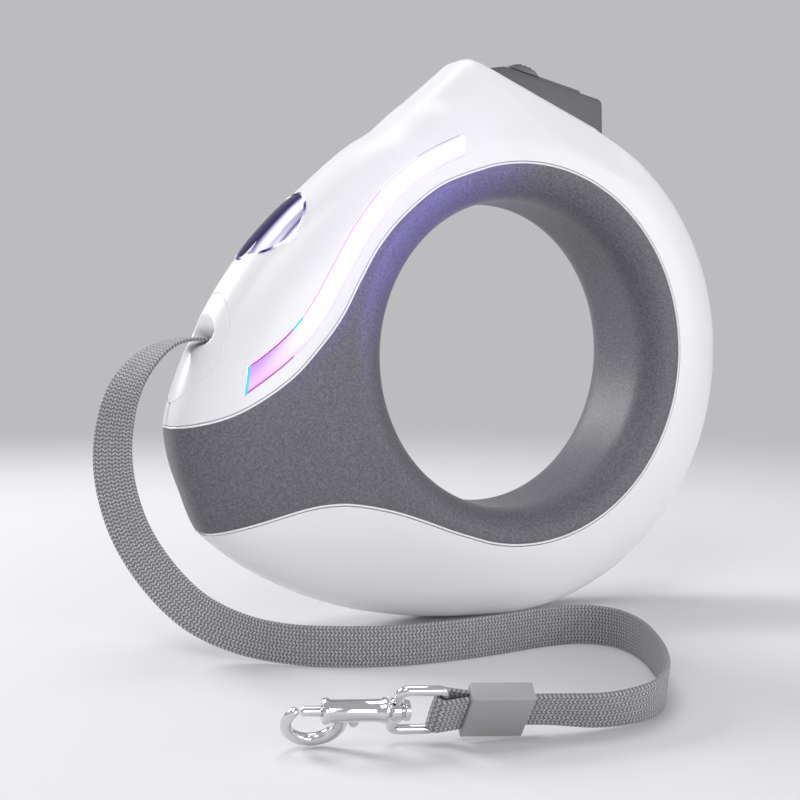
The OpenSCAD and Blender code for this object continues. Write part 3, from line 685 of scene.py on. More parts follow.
class Mark(Enum):
    """Features whose place in the photograph is known, in pixels of the 800 x 800 frame."""

    NOSE_LEFT = (161.0, 427.0)
    RIGHT = (715.5, 354.0)
    FIN_PEAK = (462.4, 58.6)
    FOOT = (420.0, 616.0)
    HOLE_LEFT = (379.8, 354.0)
    HOLE_RIGHT = (593.8, 350.0)
    HOLE_TOP = (488.0, 205.5)
    HOLE_BOTTOM = (488.0, 497.3)
    BUTTON_RIGHT = (603.5, 115.0)
    GUIDE_FIN_OUTER = (465.8, 134.9)
    GUIDE_FIN_INNER = (464.3, 154.8)
    GUIDE_NOSE_OUTER = (249.5, 369.1)
    GUIDE_NOSE_INNER = (241.4, 391.3)
    LENS = (270.3, 226.5)
    SLEEVE = (496.4, 709.5)
    HOOK_LEFT = (280.6, 727.0)


@dataclass(frozen=True)
class PhotoCamera:
    """The photograph's camera, settled from the image points by its place and aim."""

    place_mm: tuple[float, float, float] = (-194.2, -323.0, 84.1)
    pitch: float = 86.517
    yaw: float = -28.417
    lens: float = 60.0
    sensor: float = 36.0
    about_m: float = 0.35

    def build(self) -> None:
        """Makes the camera and sets it as the scene's own."""
        data = bpy.data.cameras.new("photo_camera")
        data.lens = self.lens
        data.sensor_width = self.sensor
        data.sensor_fit = "AUTO"
        data.clip_start = 0.01
        camera = bpy.data.objects.new("photo_camera", data)
        bpy.context.scene.collection.objects.link(camera)
        camera.matrix_world = self.matrix()
        bpy.context.scene.camera = camera

    def matrix(self) -> Matrix:
        """Returns the camera's place and turn in the row frame."""
        return shift(*self.place_mm) @ spin(self.yaw, "Z") @ spin(self.pitch, "X")

    def ray(self, mark: Mark) -> tuple[Vector, Vector]:
        """Returns the start and direction, in metres, of the ray through an image point."""
        x, y = mark.value
        along = Vector((x - IMAGE / 2, IMAGE / 2 - y, -IMAGE * self.lens / self.sensor)).normalized()
        matrix = self.matrix()
        return matrix.translation.copy(), (matrix.to_3x3() @ along).normalized()

    def project(self, points: Array) -> Array:
        """Projects points in metres to pixels."""
        inverse = np.array(self.matrix().inverted())
        seen = points @ inverse[:3, :3].T + inverse[:3, 3]
        scale = IMAGE * self.lens / self.sensor / -seen[:, 2]
        return np.stack([IMAGE / 2 + seen[:, 0] * scale, IMAGE / 2 - seen[:, 1] * scale], axis=1)

    def place_on(self, mark: Mark, carrier: BVHTree) -> Vector:
        """Finds where the ray through an image point meets what carries a piece.

        Args:
            mark: the image point.
            carrier: tree of the finished, placed mesh, in metres.

        Returns:
            The place in metres; on a miss, the place on the carrier nearest the ray.
        """
        start, along = self.ray(mark)
        hit = carrier.ray_cast(start, along)[0]
        if hit is not None:
            return hit
        reach = self.about_m
        for _ in range(4):
            near = carrier.find_nearest(start + along * reach)[0]
            reach = (near - start).dot(along)
        return near


# ---------------------------------------------------------------- outer form of the body


@dataclass(frozen=True)
class BodyForm:
    """Outer form of the two-part housing round the finger hole."""

    hole_r: float = 43.0
    edge_r: float = 52.0
    ring_r: float = 74.5
    half_t: float = 17.5
    waist_half: float = 8.0
    foot_drop: float = 0.4
    squareness: float = 2.5
    nose_reach: float = 98.15
    slim: float = 2.6
    slim_to: float = 62.0
    slim_rest: Pair = (18.0, 28.0)
    slim_power: float = 1.6
    blend: float = 1.1
    fine_step: float = 0.45
    coarse_step: float = 1.0
    fin_span: Pair = (52.0, 132.0)
    # angle and radius of the rim from the fin over the nose to the foot
    outline: tuple = (
        (112, 74.5), (121, 72.1), (128, 72.7), (138, 73.6), (146, 75.4), (154, 78.2), (162, 82.4), (169, 86.2),
        (176, 90.5), (182, 94.6), (187, 98.2), (190, 99.9), (195, 100.6), (200, 100.4),
        (204, 100.6), (206.5, 100.4), (210, 98.3), (217, 93.9), (225, 88.9), (234, 84),
        (244, 79.4), (255, 76), (266, 74.5))

    @property
    def centre(self) -> Array:
        """The middle of the finger hole in the row frame, in millimetres."""
        return np.array([(self.nose_reach - self.ring_r) / 2, 0.0, self.ring_r - self.foot_drop])

    def reach(self, angles: Array) -> Array:
        """Returns how far the rim lies from the ring's centre at angles in degrees."""
        at, far = np.array(self.outline, float).T
        slope = np.zeros(len(at))
        slope[1:-1] = (far[2:] - far[:-2]) / (at[2:] - at[:-2])
        turn = np.where(angles < -90, angles + 360, angles)
        i = np.clip(np.searchsorted(at, turn) - 1, 0, len(at) - 2)
        d = at[i + 1] - at[i]
        s = (turn - at[i]) / d
        value = (far[i] * (1 + 2 * s) * (1 - s) ** 2 + far[i + 1] * s * s * (3 - 2 * s)
                 + d * s * (1 - s) * (slope[i] * (1 - s) - slope[i + 1] * s))
        return np.where((turn <= at[0]) | (turn >= at[-1]), self.ring_r - self.slimming(turn), value)

    def slimming(self, turn: Array) -> Array:
        """Returns how much the rim draws in behind the brake button, where it runs into the fin."""
        hold, over = self.slim_rest
        rise = np.clip(turn / self.slim_to, 0, 1) ** self.slim_power
        fall = 0.5 + 0.5 * np.cos(np.pi * np.clip((turn - self.slim_to - hold) / over, 0, 1))
        return self.slim * rise * fall

    def section(self, v: Array, far: Array) -> tuple[Array, Array]:
        """Gives the half section: v runs 0-1 up the waist, 1-2 round the grip, 2-3 out to the rim."""
        round_a = np.radians(90 * np.clip(v - 1, 0, 1))
        side_a = np.radians(90 * np.clip(v - 2, 0, 1))
        power = 2 / self.squareness
        radius = np.where(v <= 1, self.hole_r,
                          np.where(v <= 2, self.edge_r - (self.edge_r - self.hole_r) * np.cos(round_a),
                                   self.edge_r + (far - self.edge_r) * np.sin(side_a) ** power))
        depth = np.where(v <= 1, self.waist_half * v,
                         np.where(v <= 2, self.waist_half + (self.half_t - self.waist_half) * np.sin(round_a),
                                  self.half_t * np.abs(np.cos(side_a)) ** power))
        return radius, depth

    def point(self, angle: Array, v: Array) -> Array:
        """Returns points of the front half's plain surface, round the ring's centre."""
        radius, depth = self.section(v, self.reach(angle))
        return spoke(angle, radius, -depth)

    def on_side(self, flat: Array) -> Array:
        """Returns the points of the front half's side face at each x, z."""
        angle, radius = polar(flat)
        share = np.clip((radius - self.edge_r) / (self.reach(angle) - self.edge_r), 0, 1)
        return self.point(angle, 2 + np.degrees(np.arcsin(share ** (self.squareness / 2))) / 90)

    def angles(self) -> Array:
        """Lists the lattice's angles, closer together along the fin."""
        low, high = self.fin_span
        return np.concatenate([np.arange(-90, low, self.coarse_step), np.arange(low, high, self.fine_step),
                               np.arange(high, 270 - self.coarse_step / 2, self.coarse_step)])

    def columns(self) -> Array:
        """Lists the lattice's places across the section, close together at the parting line."""
        side = np.concatenate([np.linspace(2, 2.965, 58), [2.977, 2.987, 2.993, 2.997, 3.0]])
        return np.concatenate([[0, 0.04, 0.12], np.linspace(0.3, 1, 5), np.linspace(1, 2, 15)[1:], side[1:]])


@dataclass(frozen=True)
class FinForm:
    """Fin on top of the ring that carries the brake button: a hull of three layers."""

    peak: Pair = (-12.4, 3.1)
    peak_r: float = 4.0
    top_half: float = 6.5
    mid_half: float = 10.3
    foot_half: float = 13.8
    drop: float = 5.0
    slope_at: Pair = (-6.7, 79.6)
    slope_a: float = 21.5
    least_climb: float = 0.05
    no_cap: float = 1e3
    # the left and right ends of the two upper layers and of the middle one
    upper_x: Pair = (-44.2, 30.0)
    mid_x: Pair = (-41.5, 20.0)
    sunk: float = 10.0
    cap_to: float = 44.0
    cap_over: float = 9.0
    cap_blend: float = 0.5
    round_from: float = 96.0
    round_over: float = 8.0
    round_steps: int = 30

    def slope_cap(self, start: Array, way: Array) -> Array:
        """Returns how far each ray may go before it meets the slope under the button or its chamfer."""
        fall = math.tan(math.radians(self.slope_a))
        steep = self.drop / (self.mid_half - self.top_half)
        level = self.slope_at[1] + self.slope_at[0] * fall
        caps = []
        for lean, height in ((0.0, level), (-steep, level + steep * self.top_half)):
            normal = np.array([fall, lean, 1.0])
            climb = way @ normal
            left = height - start @ normal
            caps.append(np.where(climb > self.least_climb,
                                 left[:, None] / np.maximum(climb, self.least_climb), self.no_cap))
        return np.minimum(*caps)

    def layer(self, form: BodyForm, depth: float, drop: float, left: float, right: float,
              radius: float) -> list:
        """Lists the points of one layer of the fin at a depth."""
        x, z = oval(radius, radius, 48)
        low = self.slope_at[1] - (right - self.slope_at[0]) * math.tan(math.radians(self.slope_a)) - drop
        outline = list(zip(self.peak[0] + drop / 8 + x, form.ring_r + self.peak[1] - drop + z))
        outline += [(left, form.ring_r - 19 - drop / 4), (right, low), (20, form.edge_r), (-34, form.edge_r - 8)]
        return [(px, depth, pz) for px, pz in outline]

    def tree(self, form: BodyForm) -> BVHTree:
        """Builds the fin's hull and returns its tree, in millimetres."""
        points = []
        for depth in (-self.top_half, 0.0):
            points += self.layer(form, depth, 0.0, *self.upper_x, self.peak_r)
        points += self.layer(form, -self.mid_half, self.drop, *self.mid_x, self.peak_r - 0.5)
        points += [tuple(spoke(a, form.ring_r - self.sunk, -self.foot_half)) for a in range(60, 125, 8)]
        work = bmesh.new()
        for point in points:
            work.verts.new(point)
        hull = bmesh.ops.convex_hull(work, input=work.verts)
        loose = [g for g in hull["geom_unused"] + hull["geom_interior"] if isinstance(g, bmesh.types.BMVert)]
        bmesh.ops.delete(work, geom=list(set(loose)), context="VERTS")
        tree = BVHTree.FromBMesh(work)
        work.free()
        return tree


def soften(rows: Array) -> Array:
    """Smooths each row once, mirrored at its end; its start stays."""
    mirrored = np.concatenate([rows, rows[:, -2:-1]], axis=1)
    soft = rows.copy()
    soft[:, 1:] = (mirrored[:, :-2] + 2 * mirrored[:, 1:-1] + mirrored[:, 2:]) / 4
    return soft


@dataclass
class Skin:
    """Lattice of the body's outer surface, with the fin blended into it."""

    form: BodyForm
    fin: FinForm
    seam_depth: float = 0.28
    seam_width: float = 0.32
    grid: Array = field(init=False)

    def __post_init__(self) -> None:
        """Works the lattice out."""
        angles, v = self.form.angles(), self.form.columns()
        points = self.form.point(*np.meshgrid(angles, v, indexing="ij"))
        self.raise_fin(points, angles, v)
        points[..., 2] = np.maximum(points[..., 2], self.form.foot_drop - self.form.ring_r)
        self.grid = points

    def raise_fin(self, points: Array, angles: Array, v: Array) -> None:
        """Lifts the side face where the fin stands, with a soft blend at its foot."""
        tree = self.fin.tree(self.form)
        low, high = self.form.fin_span
        rows = np.where((angles >= low - 2) & (angles <= high + 2))[0]
        block = np.ix_(rows, np.where(v >= 2)[0])
        start = spoke(angles[rows], self.form.edge_r)
        way = points[block] - start[:, None, :]
        plain = np.linalg.norm(way, axis=-1)
        way = way / plain[..., None]
        reach = np.zeros_like(plain)
        for i, j in np.ndindex(plain.shape):
            # from far outside back to the centre line, so the first hit is the fin's outside
            out = Vector(way[i, j])
            hit = tree.ray_cast(Vector(start[i]) + out * 2 * FAR, -out, 2 * FAR)
            if hit[0] is not None:
                reach[i, j] = 2 * FAR - hit[3]
        k = self.form.blend
        meet = np.clip(k - np.abs(plain - reach), 0, None) / k
        both = np.maximum(plain, reach) + meet ** 2 * k / 4
        over = both - self.fin.slope_cap(start, way)
        fin = self.fin
        fade = np.clip((fin.cap_to - (start[:, None, 0] + way[..., 0] * both)) / fin.cap_over, 0, 1)
        near = np.clip(over + fin.cap_blend, 0, 1) ** 2 / 2
        both = both - fade * np.where(over > fin.cap_blend, over, near)
        for _ in range(2):
            soft = both.copy()
            soft[1:-1, :] = (both[:-2, :] + 2 * both[1:-1, :] + both[2:, :]) / 4
            soft = soften(soft)
            both = np.where(np.abs(soft - plain) < 1e-4, plain, soft)
        # the slope towards the nose is rounded over across the body, unlike the chamfered one
        share = np.clip((angles[rows] - fin.round_from) / fin.round_over, 0, 1)[:, None]
        for _ in range(fin.round_steps):
            both = both * (1 - share) + soften(both) * share
        points[block] = start[:, None, :] + way * both[..., None]

    def faces(self) -> list:
        """Lists the lattice's faces."""
        return lattice_faces(*self.grid.shape[:2], closed_rows=True)

    def half(self, name: str, side: int, seam: bool = False) -> Piece:
        """Makes one half's surface as an open mesh.

        Args:
            name: the mesh's name.
            side: -1 for the front half, 1 for the back one.
            seam: whether the edge at the parting line is rounded in.

        Returns:
            The surface in the row frame, its faces turned outwards.
        """
        points = self.grid.copy()
        if seam:
            way = points - spoke(self.form.angles(), self.form.edge_r)[:, None, :]
            way /= np.maximum(np.linalg.norm(way, axis=-1), 1e-6)[..., None]
            points -= way * (self.seam_depth * np.exp(-(points[..., 1:2] / self.seam_width) ** 2))
        points[..., 1] *= -side
        obj = mesh_object(name, points + self.form.centre, self.faces())
        middle = obj.data.polygons[self.grid.shape[1] * 3 // 4]
        outside = Vector(middle.center) - Vector(self.form.centre * MM)
        if middle.normal.dot(Vector((outside.x, side * 0.05, outside.z))) < 0:
            obj.data.flip_normals()
        return obj

    def placed_tree(self) -> BVHTree:
        """Returns a tree of the front half's surface in the row frame, in metres."""
        points = (self.grid.reshape(-1, 3) + self.form.centre) * MM
        return BVHTree.FromPolygons(points.tolist(), self.faces())

    def tree(self) -> BVHTree:
        """Returns a tree of both halves' plain surface, in millimetres round the ring's centre."""
        front, faces = self.grid.reshape(-1, 3), self.faces()
        both = np.vstack([front, front * (1, -1, 1)]).tolist()
        return BVHTree.FromPolygons(both, faces + [tuple(i + len(front) for i in f) for f in faces])


GRIP_R = 52.15


def off_grip(knots: tuple) -> Array:
    """Returns x, z of knots given as an angle and a distance outside the circle that the grip ends on."""
    angle, away = np.array(knots, float).T
    return spoke(angle, GRIP_R + away)[:, ::2]


@dataclass(frozen=True)
class GripLine:
    """Line where the soft grip ends, in the X-Z plane round the ring's centre."""

    upper: tuple = ((105, 0), (121.5, 0.8), (136.5, 1.4), (148.5, 2.3), (159.5, 3.3), (169.5, 5.7),
                    (177.5, 10.9), (184.6, 19.5), (189.2, 32.8), (190.2, 45.5), (189.8, 62))
    lower: tuple = ((203, 64), (205, 56), (206.3, 48.4), (207.2, 41.1), (209.5, 25.7), (212.3, 17.7),
                    (216.2, 12.1), (224, 5.9), (233.3, 2.2), (243.7, 0.4), (255, 0))
    steps: int = 8

    def points(self, outside: float = 0.0) -> Array:
        """Lists the closed line, moved outside itself by a distance in millimetres."""
        ring = off_grip([(a, 0) for a in np.arange(-102.5, 103, 2.5)])
        line = np.vstack([ring, catmull(off_grip(self.upper), self.steps), catmull(off_grip(self.lower), self.steps)])
        line = line[np.linalg.norm(line - np.roll(line, 1, axis=0), axis=1) > 0.05]
        way = unit(np.roll(line, -1, axis=0) - np.roll(line, 1, axis=0))
        return line + outside * way[:, ::-1] * (1, -1)


@dataclass
class GuideLine:
    """Middle line of a side light guide: angle, and distance outside the grip's edge circle."""

    path: tuple = ((110, 7.9), (122, 7.9), (134, 8.2), (147, 8.4), (158.5, 9.4), (169.3, 12.6),
                   (175.3, 16.8), (179.8, 22.4), (183.8, 30.3))
    width: float = 5.2
    spare: float = 5.0
    # how strong the painted glow is at parts of the guide's length, and how far it reaches in and outside the grip
    # line
    glow: tuple = ((-0.05, 0.62), (0.0, 0.66), (0.12, 1.0), (0.5, 0.9), (0.75, 0.35), (1.0, 0.12))
    glow_in: float = 14.0
    glow_out: float = 7.5
    ends: dict[str, Pair] = field(default_factory=dict)

    def middle(self, steps: int = 24) -> tuple[Array, Array]:
        """Returns the middle line, a little longer at both ends, and how far each point lies along it."""
        line = catmull(off_grip(self.path), steps)
        more = unit(np.stack([line[0] - line[1], line[-1] - line[-2]])) * self.spare
        line = np.vstack([line[0] + more[0], line, line[-1] + more[1]])
        return line, lengths(line) - self.spare

    def along(self, x: float, z: float) -> float:
        """Returns how far along the middle line the point nearest to x, z lies."""
        line, run = self.middle()
        fine = np.arange(run[0], run[-1], 0.05)
        gap = np.hypot(np.interp(fine, run, line[:, 0]) - x, np.interp(fine, run, line[:, 1]) - z)
        return float(fine[np.argmin(gap)])

    def settle(self, camera: PhotoCamera, carrier: BVHTree, centre: Array) -> None:
        """Takes the slant of both ends from where the image points of their corners meet the shell."""
        for end, marks in (("fin", (Mark.GUIDE_FIN_OUTER, Mark.GUIDE_FIN_INNER)),
                           ("nose", (Mark.GUIDE_NOSE_OUTER, Mark.GUIDE_NOSE_INNER))):
            places = [np.array(camera.place_on(mark, carrier)) / MM - centre for mark in marks]
            self.ends[end] = tuple(self.along(x, z) for x, _, z in places)
        log.info("light guide's ends lie at %s", self.ends)

    def lines(self, width: float, rows: int = 160, cols: int = 2) -> Array:
        """Returns rows of x, z across the guide, from its outer edge to the hole's side."""
        line, run = self.middle()
        way = unit(np.gradient(line, axis=0))
        margin = (width - self.width) / 2
        columns = []
        for share in np.linspace(0, 1, cols):
            low, high = (self.ends[end][0] * (1 - share) + self.ends[end][1] * share for end in ("fin", "nose"))
            at = np.linspace(low - margin, high + margin, rows)
            x, z, dx, dz = (np.interp(at, run, row) for row in np.hstack([line, way]).T)
            move = (0.5 - share) * width
            columns.append(np.stack([x + move * dz, z - move * dx], axis=1))
        return np.stack(columns, axis=1)

    def glow_at(self, points: Array) -> Array:
        """Returns how strongly the guide's painted glow tints the body at points round the ring's centre."""
        line, run = self.middle(6)
        gap = np.linalg.norm(points[:, None, [0, 2]] - line[None], axis=2)
        along = run[gap.argmin(axis=1)] / run[-1]
        inner = np.linalg.norm(points[:, [0, 2]], axis=1) < GRIP_R
        reach = np.where(inner, self.glow_in, self.glow_out)
        return np.interp(along, *np.array(self.glow).T) * np.exp(-(gap.min(axis=1) / reach) ** 2)


@dataclass(frozen=True)
class NosePlace:
    """Flat frame of an outlet in the nose: s runs up the nose, w along Y and d outwards."""

    at: Pair
    angle: float
    least_w: float = 0.04

    def frame(self) -> tuple[Array, Array, Array, Array]:
        """Returns the origin and the s, w and d directions."""
        out = spoke(self.angle, 1.0)
        return np.array([self.at[0], 0, self.at[1]]), np.array([out[2], 0, -out[0]]), np.array([0.0, 1.0, 0.0]), out

    def put(self, s: Array, w: Array, d: Array | float) -> Array:
        """Returns points at s, w and d, round the ring's centre."""
        origin, up, across, out = self.frame()
        return origin + s[..., None] * up + w[..., None] * across + np.broadcast_to(d, s.shape)[..., None] * out

    def height(self, tree: BVHTree, s: Array, w: Array) -> Array:
        """Returns how far out the body's surface lies at each s, w."""
        # a ray in the parting plane itself would slip between the halves
        aside = np.where(np.abs(w) > self.least_w, w, self.least_w)
        out = self.frame()[3]
        hits = [tree.ray_cast(Vector(start), Vector(-out)) for start in self.put(s, aside, FAR)]
        return np.array([FAR - hit[3] if hit[0] is not None else 0.0 for hit in hits])

    def on(self, tree: BVHTree, s: Array, w: Array, drop: float = 0.0) -> Array:
        """Returns the points at s, w that lie under the body's surface by a distance."""
        return self.put(s, w, self.height(tree, s, w) - drop)


PORT = NosePlace((-89.5, 2.8), 154.0)
LAMP = NosePlace((-70.2, 34.2), 135.7)
PORT_TURN = np.linspace(-math.pi, math.pi, 96, endpoint=False)


def port_outline(grow: float) -> Array:
    """Gives the port plate's outline, a large circle above a small one, joined by their tangents."""
    big, small, apart, middle = 10.2 + grow, 6.5 + grow, 14.0, 3.25
    lean = math.asin((big - small) / apart)
    corners = []
    for at, radius, start, end, count in ((4.5, big, -(math.pi / 2 + lean), math.pi / 2 + lean, 60),
                                          (-9.5, small, math.pi / 2 + lean, 3 * math.pi / 2 - lean, 36)):
        corners += [(at + radius * math.cos(t) - middle, radius * math.sin(t)) for t in np.linspace(start, end, count)]
    corners = np.array(corners)
    angle = np.arctan2(corners[:, 1], corners[:, 0])
    order = np.argsort(angle)
    radius = np.interp(PORT_TURN, angle[order], np.linalg.norm(corners[order], axis=1), period=2 * math.pi)
    return np.stack([middle + radius * np.cos(PORT_TURN), radius * np.sin(PORT_TURN)])


def plug(name: str, place: NosePlace, outline: Array, form: BodyForm, depth: float) -> Piece:
    """Makes a closed plug through the nose from an outline of s and w."""
    s, w = outline
    rings = np.array([place.put(s, w, d) for d in (-depth, depth)])
    return outward(mesh_object(name, rings + form.centre, lattice_faces(2, len(s), closed_cols=True, capped=True)))


def box(x0: float, z0: float, x1: float, z1: float) -> list:
    """Lists the corners of a rectangle in X and Z."""
    return [(x0, z0), (x1, z0), (x1, z1), (x0, z1)]


def rod(name: str, x0: float, x1: float, r: float, steps: int) -> Piece:
    """Turns a plain rod between two places on the X axis."""
    return turned(name, [(x0, 0), (x0, r), (x1, r), (x1, 0)], steps)


# ---------------------------------------------------------------- sub-assemblies


@dataclass
class Housing:
    """White shells, grips, light guides and the outlets in the nose."""

    form: BodyForm
    skin: Skin
    palette: Palette
    grip_line: GripLine = GripLine()
    guide_line: GuideLine = field(default_factory=GuideLine)
    layer: float = 1.4
    backing: float = 1.3
    bead_gap: float = 0.82
    bead_r: float = 0.3
    bead_out: float = 0.34
    bead_sunk: float = 0.1
    guide_t: float = 2.2
    guide_gap: float = 0.25
    cover_t: float = 1.3
    plug_depth: float = 12.0
    lens_half: Pair = (11.9, 11.2)
    lens_rise: float = 0.85
    dish_half: Pair = (11.95, 11.25)
    dish_floor: float = 2.4
    dish_t: float = 0.5
    dish: float = 3.4
    funnel_power: float = 2.3
    slot_d: float = 2.7

    def slab(self, name: str, outline: Array, side: int, inner: float) -> Piece:
        """Makes a closed slab from far outside one half to a depth inside it, from an outline."""
        centre = self.form.centre
        return prism(name, [(x + centre[0], z + centre[2]) for x, z in outline], *sorted((side * FAR, side * inner)))

    def cutters(self, side: int) -> Piece:
        """Joins the plugs and slabs that open one shell half."""
        band = self.guide_line.lines(self.guide_line.width + self.guide_gap)
        cut_list = [plug("port_plug", PORT, port_outline(0.12), self.form, self.plug_depth + 1),
                    plug("lamp_plug", LAMP, oval(12.25, 11.5), self.form, self.plug_depth),
                    self.slab("guide_slab", np.vstack([band[:, 0], band[::-1, 1]]), side, 9.0),
                    self.button_slot()]
        if side > 0:
            cut_list += Fasteners(self.form, self.palette).cutters()
        return join(cut_list, "shell_cutters")

    def button_slot(self) -> Piece:
        """Makes the plug that opens the fin's top for the brake button."""
        brake = Brake(self.form, self.palette)
        low, half = brake.start - brake.gap, brake.half_w + brake.gap
        outline = [(low, -20), (low, 18), (36.45, 18), (brake.end(-12) + brake.gap, -12), (28, -12), (28, -20)]
        return bake_place(prism("button_slot", outline, -half, half), brake.slope())

    def paint_guide_glow(self, piece: Piece) -> Piece:
        """Stores on each vertex how much of the light guide's painted glow reaches it."""
        co = np.empty(len(piece.data.vertices) * 3)
        piece.data.vertices.foreach_get("co", co)
        layer = piece.data.attributes.new("glow", "FLOAT", "POINT")
        layer.data.foreach_set("value", self.guide_line.glow_at(co.reshape(-1, 3) / MM - self.form.centre))
        return piece

    def shell(self, side: int, name: str) -> Piece:
        """Builds one white shell half: an outer layer open over the grip, on a closed backing."""
        outer = thicken(self.skin.half(name, side, seam=True), self.layer)
        cut(outer, self.slab("grip_slab", self.grip_line.points(self.bead_gap), side, -1.0))
        backing = self.skin.half(name + "_backing", side)
        modify(backing, "DISPLACE", strength=-(self.layer + 0.02) * MM, mid_level=0.0)
        modify(backing, "DECIMATE", ratio=0.25)
        thicken(backing, self.backing)
        for layer in (outer, backing):
            cut(layer, self.cutters(side))
        for vertex in backing.data.vertices:
            if vertex.co.y * side < 0:
                vertex.co.y = 0.0
        return self.paint_guide_glow(self.palette.done(join([outer, backing], name), Finish.SHELL, 30))

    def grip(self, side: int, name: str) -> Piece:
        """Builds one soft grip half, as thick as the shell's outer layer."""
        piece = thicken(self.skin.half(name, side), self.layer)
        cut(piece, self.slab("grip_slab", self.grip_line.points(), side, -1.0), "INTERSECT")
        return self.paint_guide_glow(self.palette.done(piece, Finish.GRIP, 40))

    def bead(self, side: int, name: str) -> Piece:
        """Sweeps the thin white bead that frames the grip."""
        line = self.grip_line.points(self.bead_out)
        angle, radius = polar(line)
        inside = radius < self.form.reach(angle) - 0.02
        order = np.roll(np.arange(len(line)), -int(np.where(~inside)[0][-1]) - 1)
        points = self.form.on_side(line[order[inside[order]]])
        # both ends run on to the parting plane
        points = np.vstack([points[:1] * (1, 0, 1), points, points[-1:] * (1, 0, 1)])
        points[:, 2] = np.maximum(points[:, 2], self.form.foot_drop - self.form.ring_r)
        points[:, 1] *= -side
        points[1:-1, 1] -= self.bead_sunk * side
        piece = swept(name, points + self.form.centre, self.bead_r, 10, (0.31, 0.9, 0.31))
        return self.paint_guide_glow(self.palette.done(piece, Finish.BEAD, 60))

    def guide(self, side: int, name: str) -> Piece:
        """Builds one light guide, flush with the side face, and its glow's own map."""
        band = self.guide_line.lines(self.guide_line.width, 200, 17)
        rows, cols = band.shape[:2]
        points = self.form.on_side(band)
        points[..., 1] -= np.sin(np.linspace(0, np.pi, cols)) ** 0.5 * 0.35 - 0.15
        points[..., 1] *= -side
        piece = mesh_object(name, points + self.form.centre, lattice_faces(rows, cols))
        if piece.data.polygons[0].normal.y * side < 0:
            piece.data.flip_normals()
        lay_map(piece, "glow", np.linspace(0, 1, rows), np.linspace(0, 1, cols))
        return self.palette.done(thicken(piece, self.guide_t), Finish.GUIDE, 40)

    def nose_cover(self, name: str, rings: list, probe: int, closing: bool = False) -> Piece:
        """Lofts a thin piece in the nose.

        Args:
            name: the piece's name.
            rings: closed rings of points, from its outer edge inwards.
            probe: number of a face that has to look towards the nose.
            closing: whether the last ring is a face.

        Returns:
            The piece, thickened inwards.
        """
        cols = len(rings[0])
        faces = lattice_faces(len(rings), cols, closed_cols=True, capped=closing)
        if closing:
            del faces[-2]
        piece = mesh_object(name, np.array(rings) + self.form.centre, faces)
        if piece.data.polygons[probe].normal.x > 0:
            piece.data.flip_normals()
        return thicken(piece, self.cover_t)

    def port(self, tree: BVHTree, name: str) -> Piece:
        """Lofts the port plate from its outline into the funnel and the tape slot."""
        rings = [PORT.on(tree, *port_outline(grow), drop)
                 for grow, drop in ((0.0, 0.45), (-0.02, 0.1), (-0.1, 0.02), (-0.22, 0.0), (-0.4, 0.0))]
        cos, sin = np.cos(PORT_TURN), np.sin(PORT_TURN)
        edge, mouth = port_outline(-0.4), np.stack([3.3 + 6.2 * cos, 7.6 * sin])
        for share in (0.08, 0.2, 0.35, 0.5, 0.65, 0.8, 0.92, 1.0):
            rings.append(PORT.on(tree, *(edge * (1 - share) + mouth * share)))
        square = 0.35
        slot = np.stack([3.25 + 0.75 * np.sign(cos) * np.abs(cos) ** square,
                         5.4 * np.sign(sin) * np.abs(sin) ** square])
        rim = PORT.height(tree, *mouth)
        for share in (0.06, 0.14, 0.25, 0.38, 0.52, 0.66, 0.8, 0.9, 0.97, 1.0):
            fall = share ** self.funnel_power
            rings.append(PORT.put(*(mouth * (1 - share) + slot * share), rim * (1 - fall) - self.slot_d * fall))
        for step in (0.3, 9):
            rings.append(rings[-1] - step * spoke(168.0, 1.0))
        return self.palette.done(self.nose_cover(name, rings, 96 * 6), Finish.SHELL, 40)

    def lens(self, tree: BVHTree, name: str) -> Piece:
        """Builds the bulging lamp lens from rings that rise above the nose."""
        a, b = self.lens_half
        rings = [LAMP.on(tree, *oval(a * k, b * k), 0.05 - self.lens_rise * math.sqrt(1 - k * k))
                 for k in np.sin(np.radians(np.linspace(90, 0.8, 22)))]
        probe = ((len(rings) - 1) * len(rings[0]) + 1) // 2
        return self.palette.done(self.nose_cover(name, rings, probe, True), Finish.LENS, 60)

    def reflector(self, tree: BVHTree, name: str) -> Piece:
        """Builds the metallised dish behind the lens, with its bright rim round the lens."""
        a, b = self.dish_half
        rings = [LAMP.on(tree, *oval(a * k, b * k), drop)
                 for k, drop in ((1.012, 0.4), (1.012, -0.02), (0.995, -0.1), (0.985, 0.3), (0.975, 1.8))]
        origin, _, _, axis = LAMP.frame()
        rim, floor = rings[-1], LAMP.put(*oval(self.dish_floor, self.dish_floor), -self.dish)
        for share in np.linspace(0.1, 1, 12):
            wide = math.sqrt(max(1 - share ** 2, 0))
            ring = floor * (1 - wide) + rim * wide
            depth = (rim - origin) @ axis * (1 - share) - self.dish * share
            rings.append(ring + (depth - (ring - origin) @ axis)[:, None] * axis)
        piece = mesh_object(name, np.array(rings) + self.form.centre,
                            lattice_faces(len(rings), len(rim), closed_cols=True))
        modify(piece, "SOLIDIFY", thickness=self.dish_t * MM, offset=0)
        return self.palette.done(outward(piece), Finish.REFLECTOR, 50)

    def lamp_led(self, name: str) -> Piece:
        """Turns the LED at the bottom of the dish."""
        profile = [(-9, 0), (-9, 4.6), (-8, 4.6), (-7.6, 2.2), (-0.6, 2.2), (0.2, 2.0), (0.7, 1.3), (0.9, 0)]
        piece = turned(name, [(x - self.dish, r) for x, r in profile], 48)
        place = shift(*self.form.centre) @ shift(LAMP.at[0], 0, LAMP.at[1]) @ spin(-LAMP.angle, "Y")
        return self.palette.done(piece, Finish.LED, 40, place)


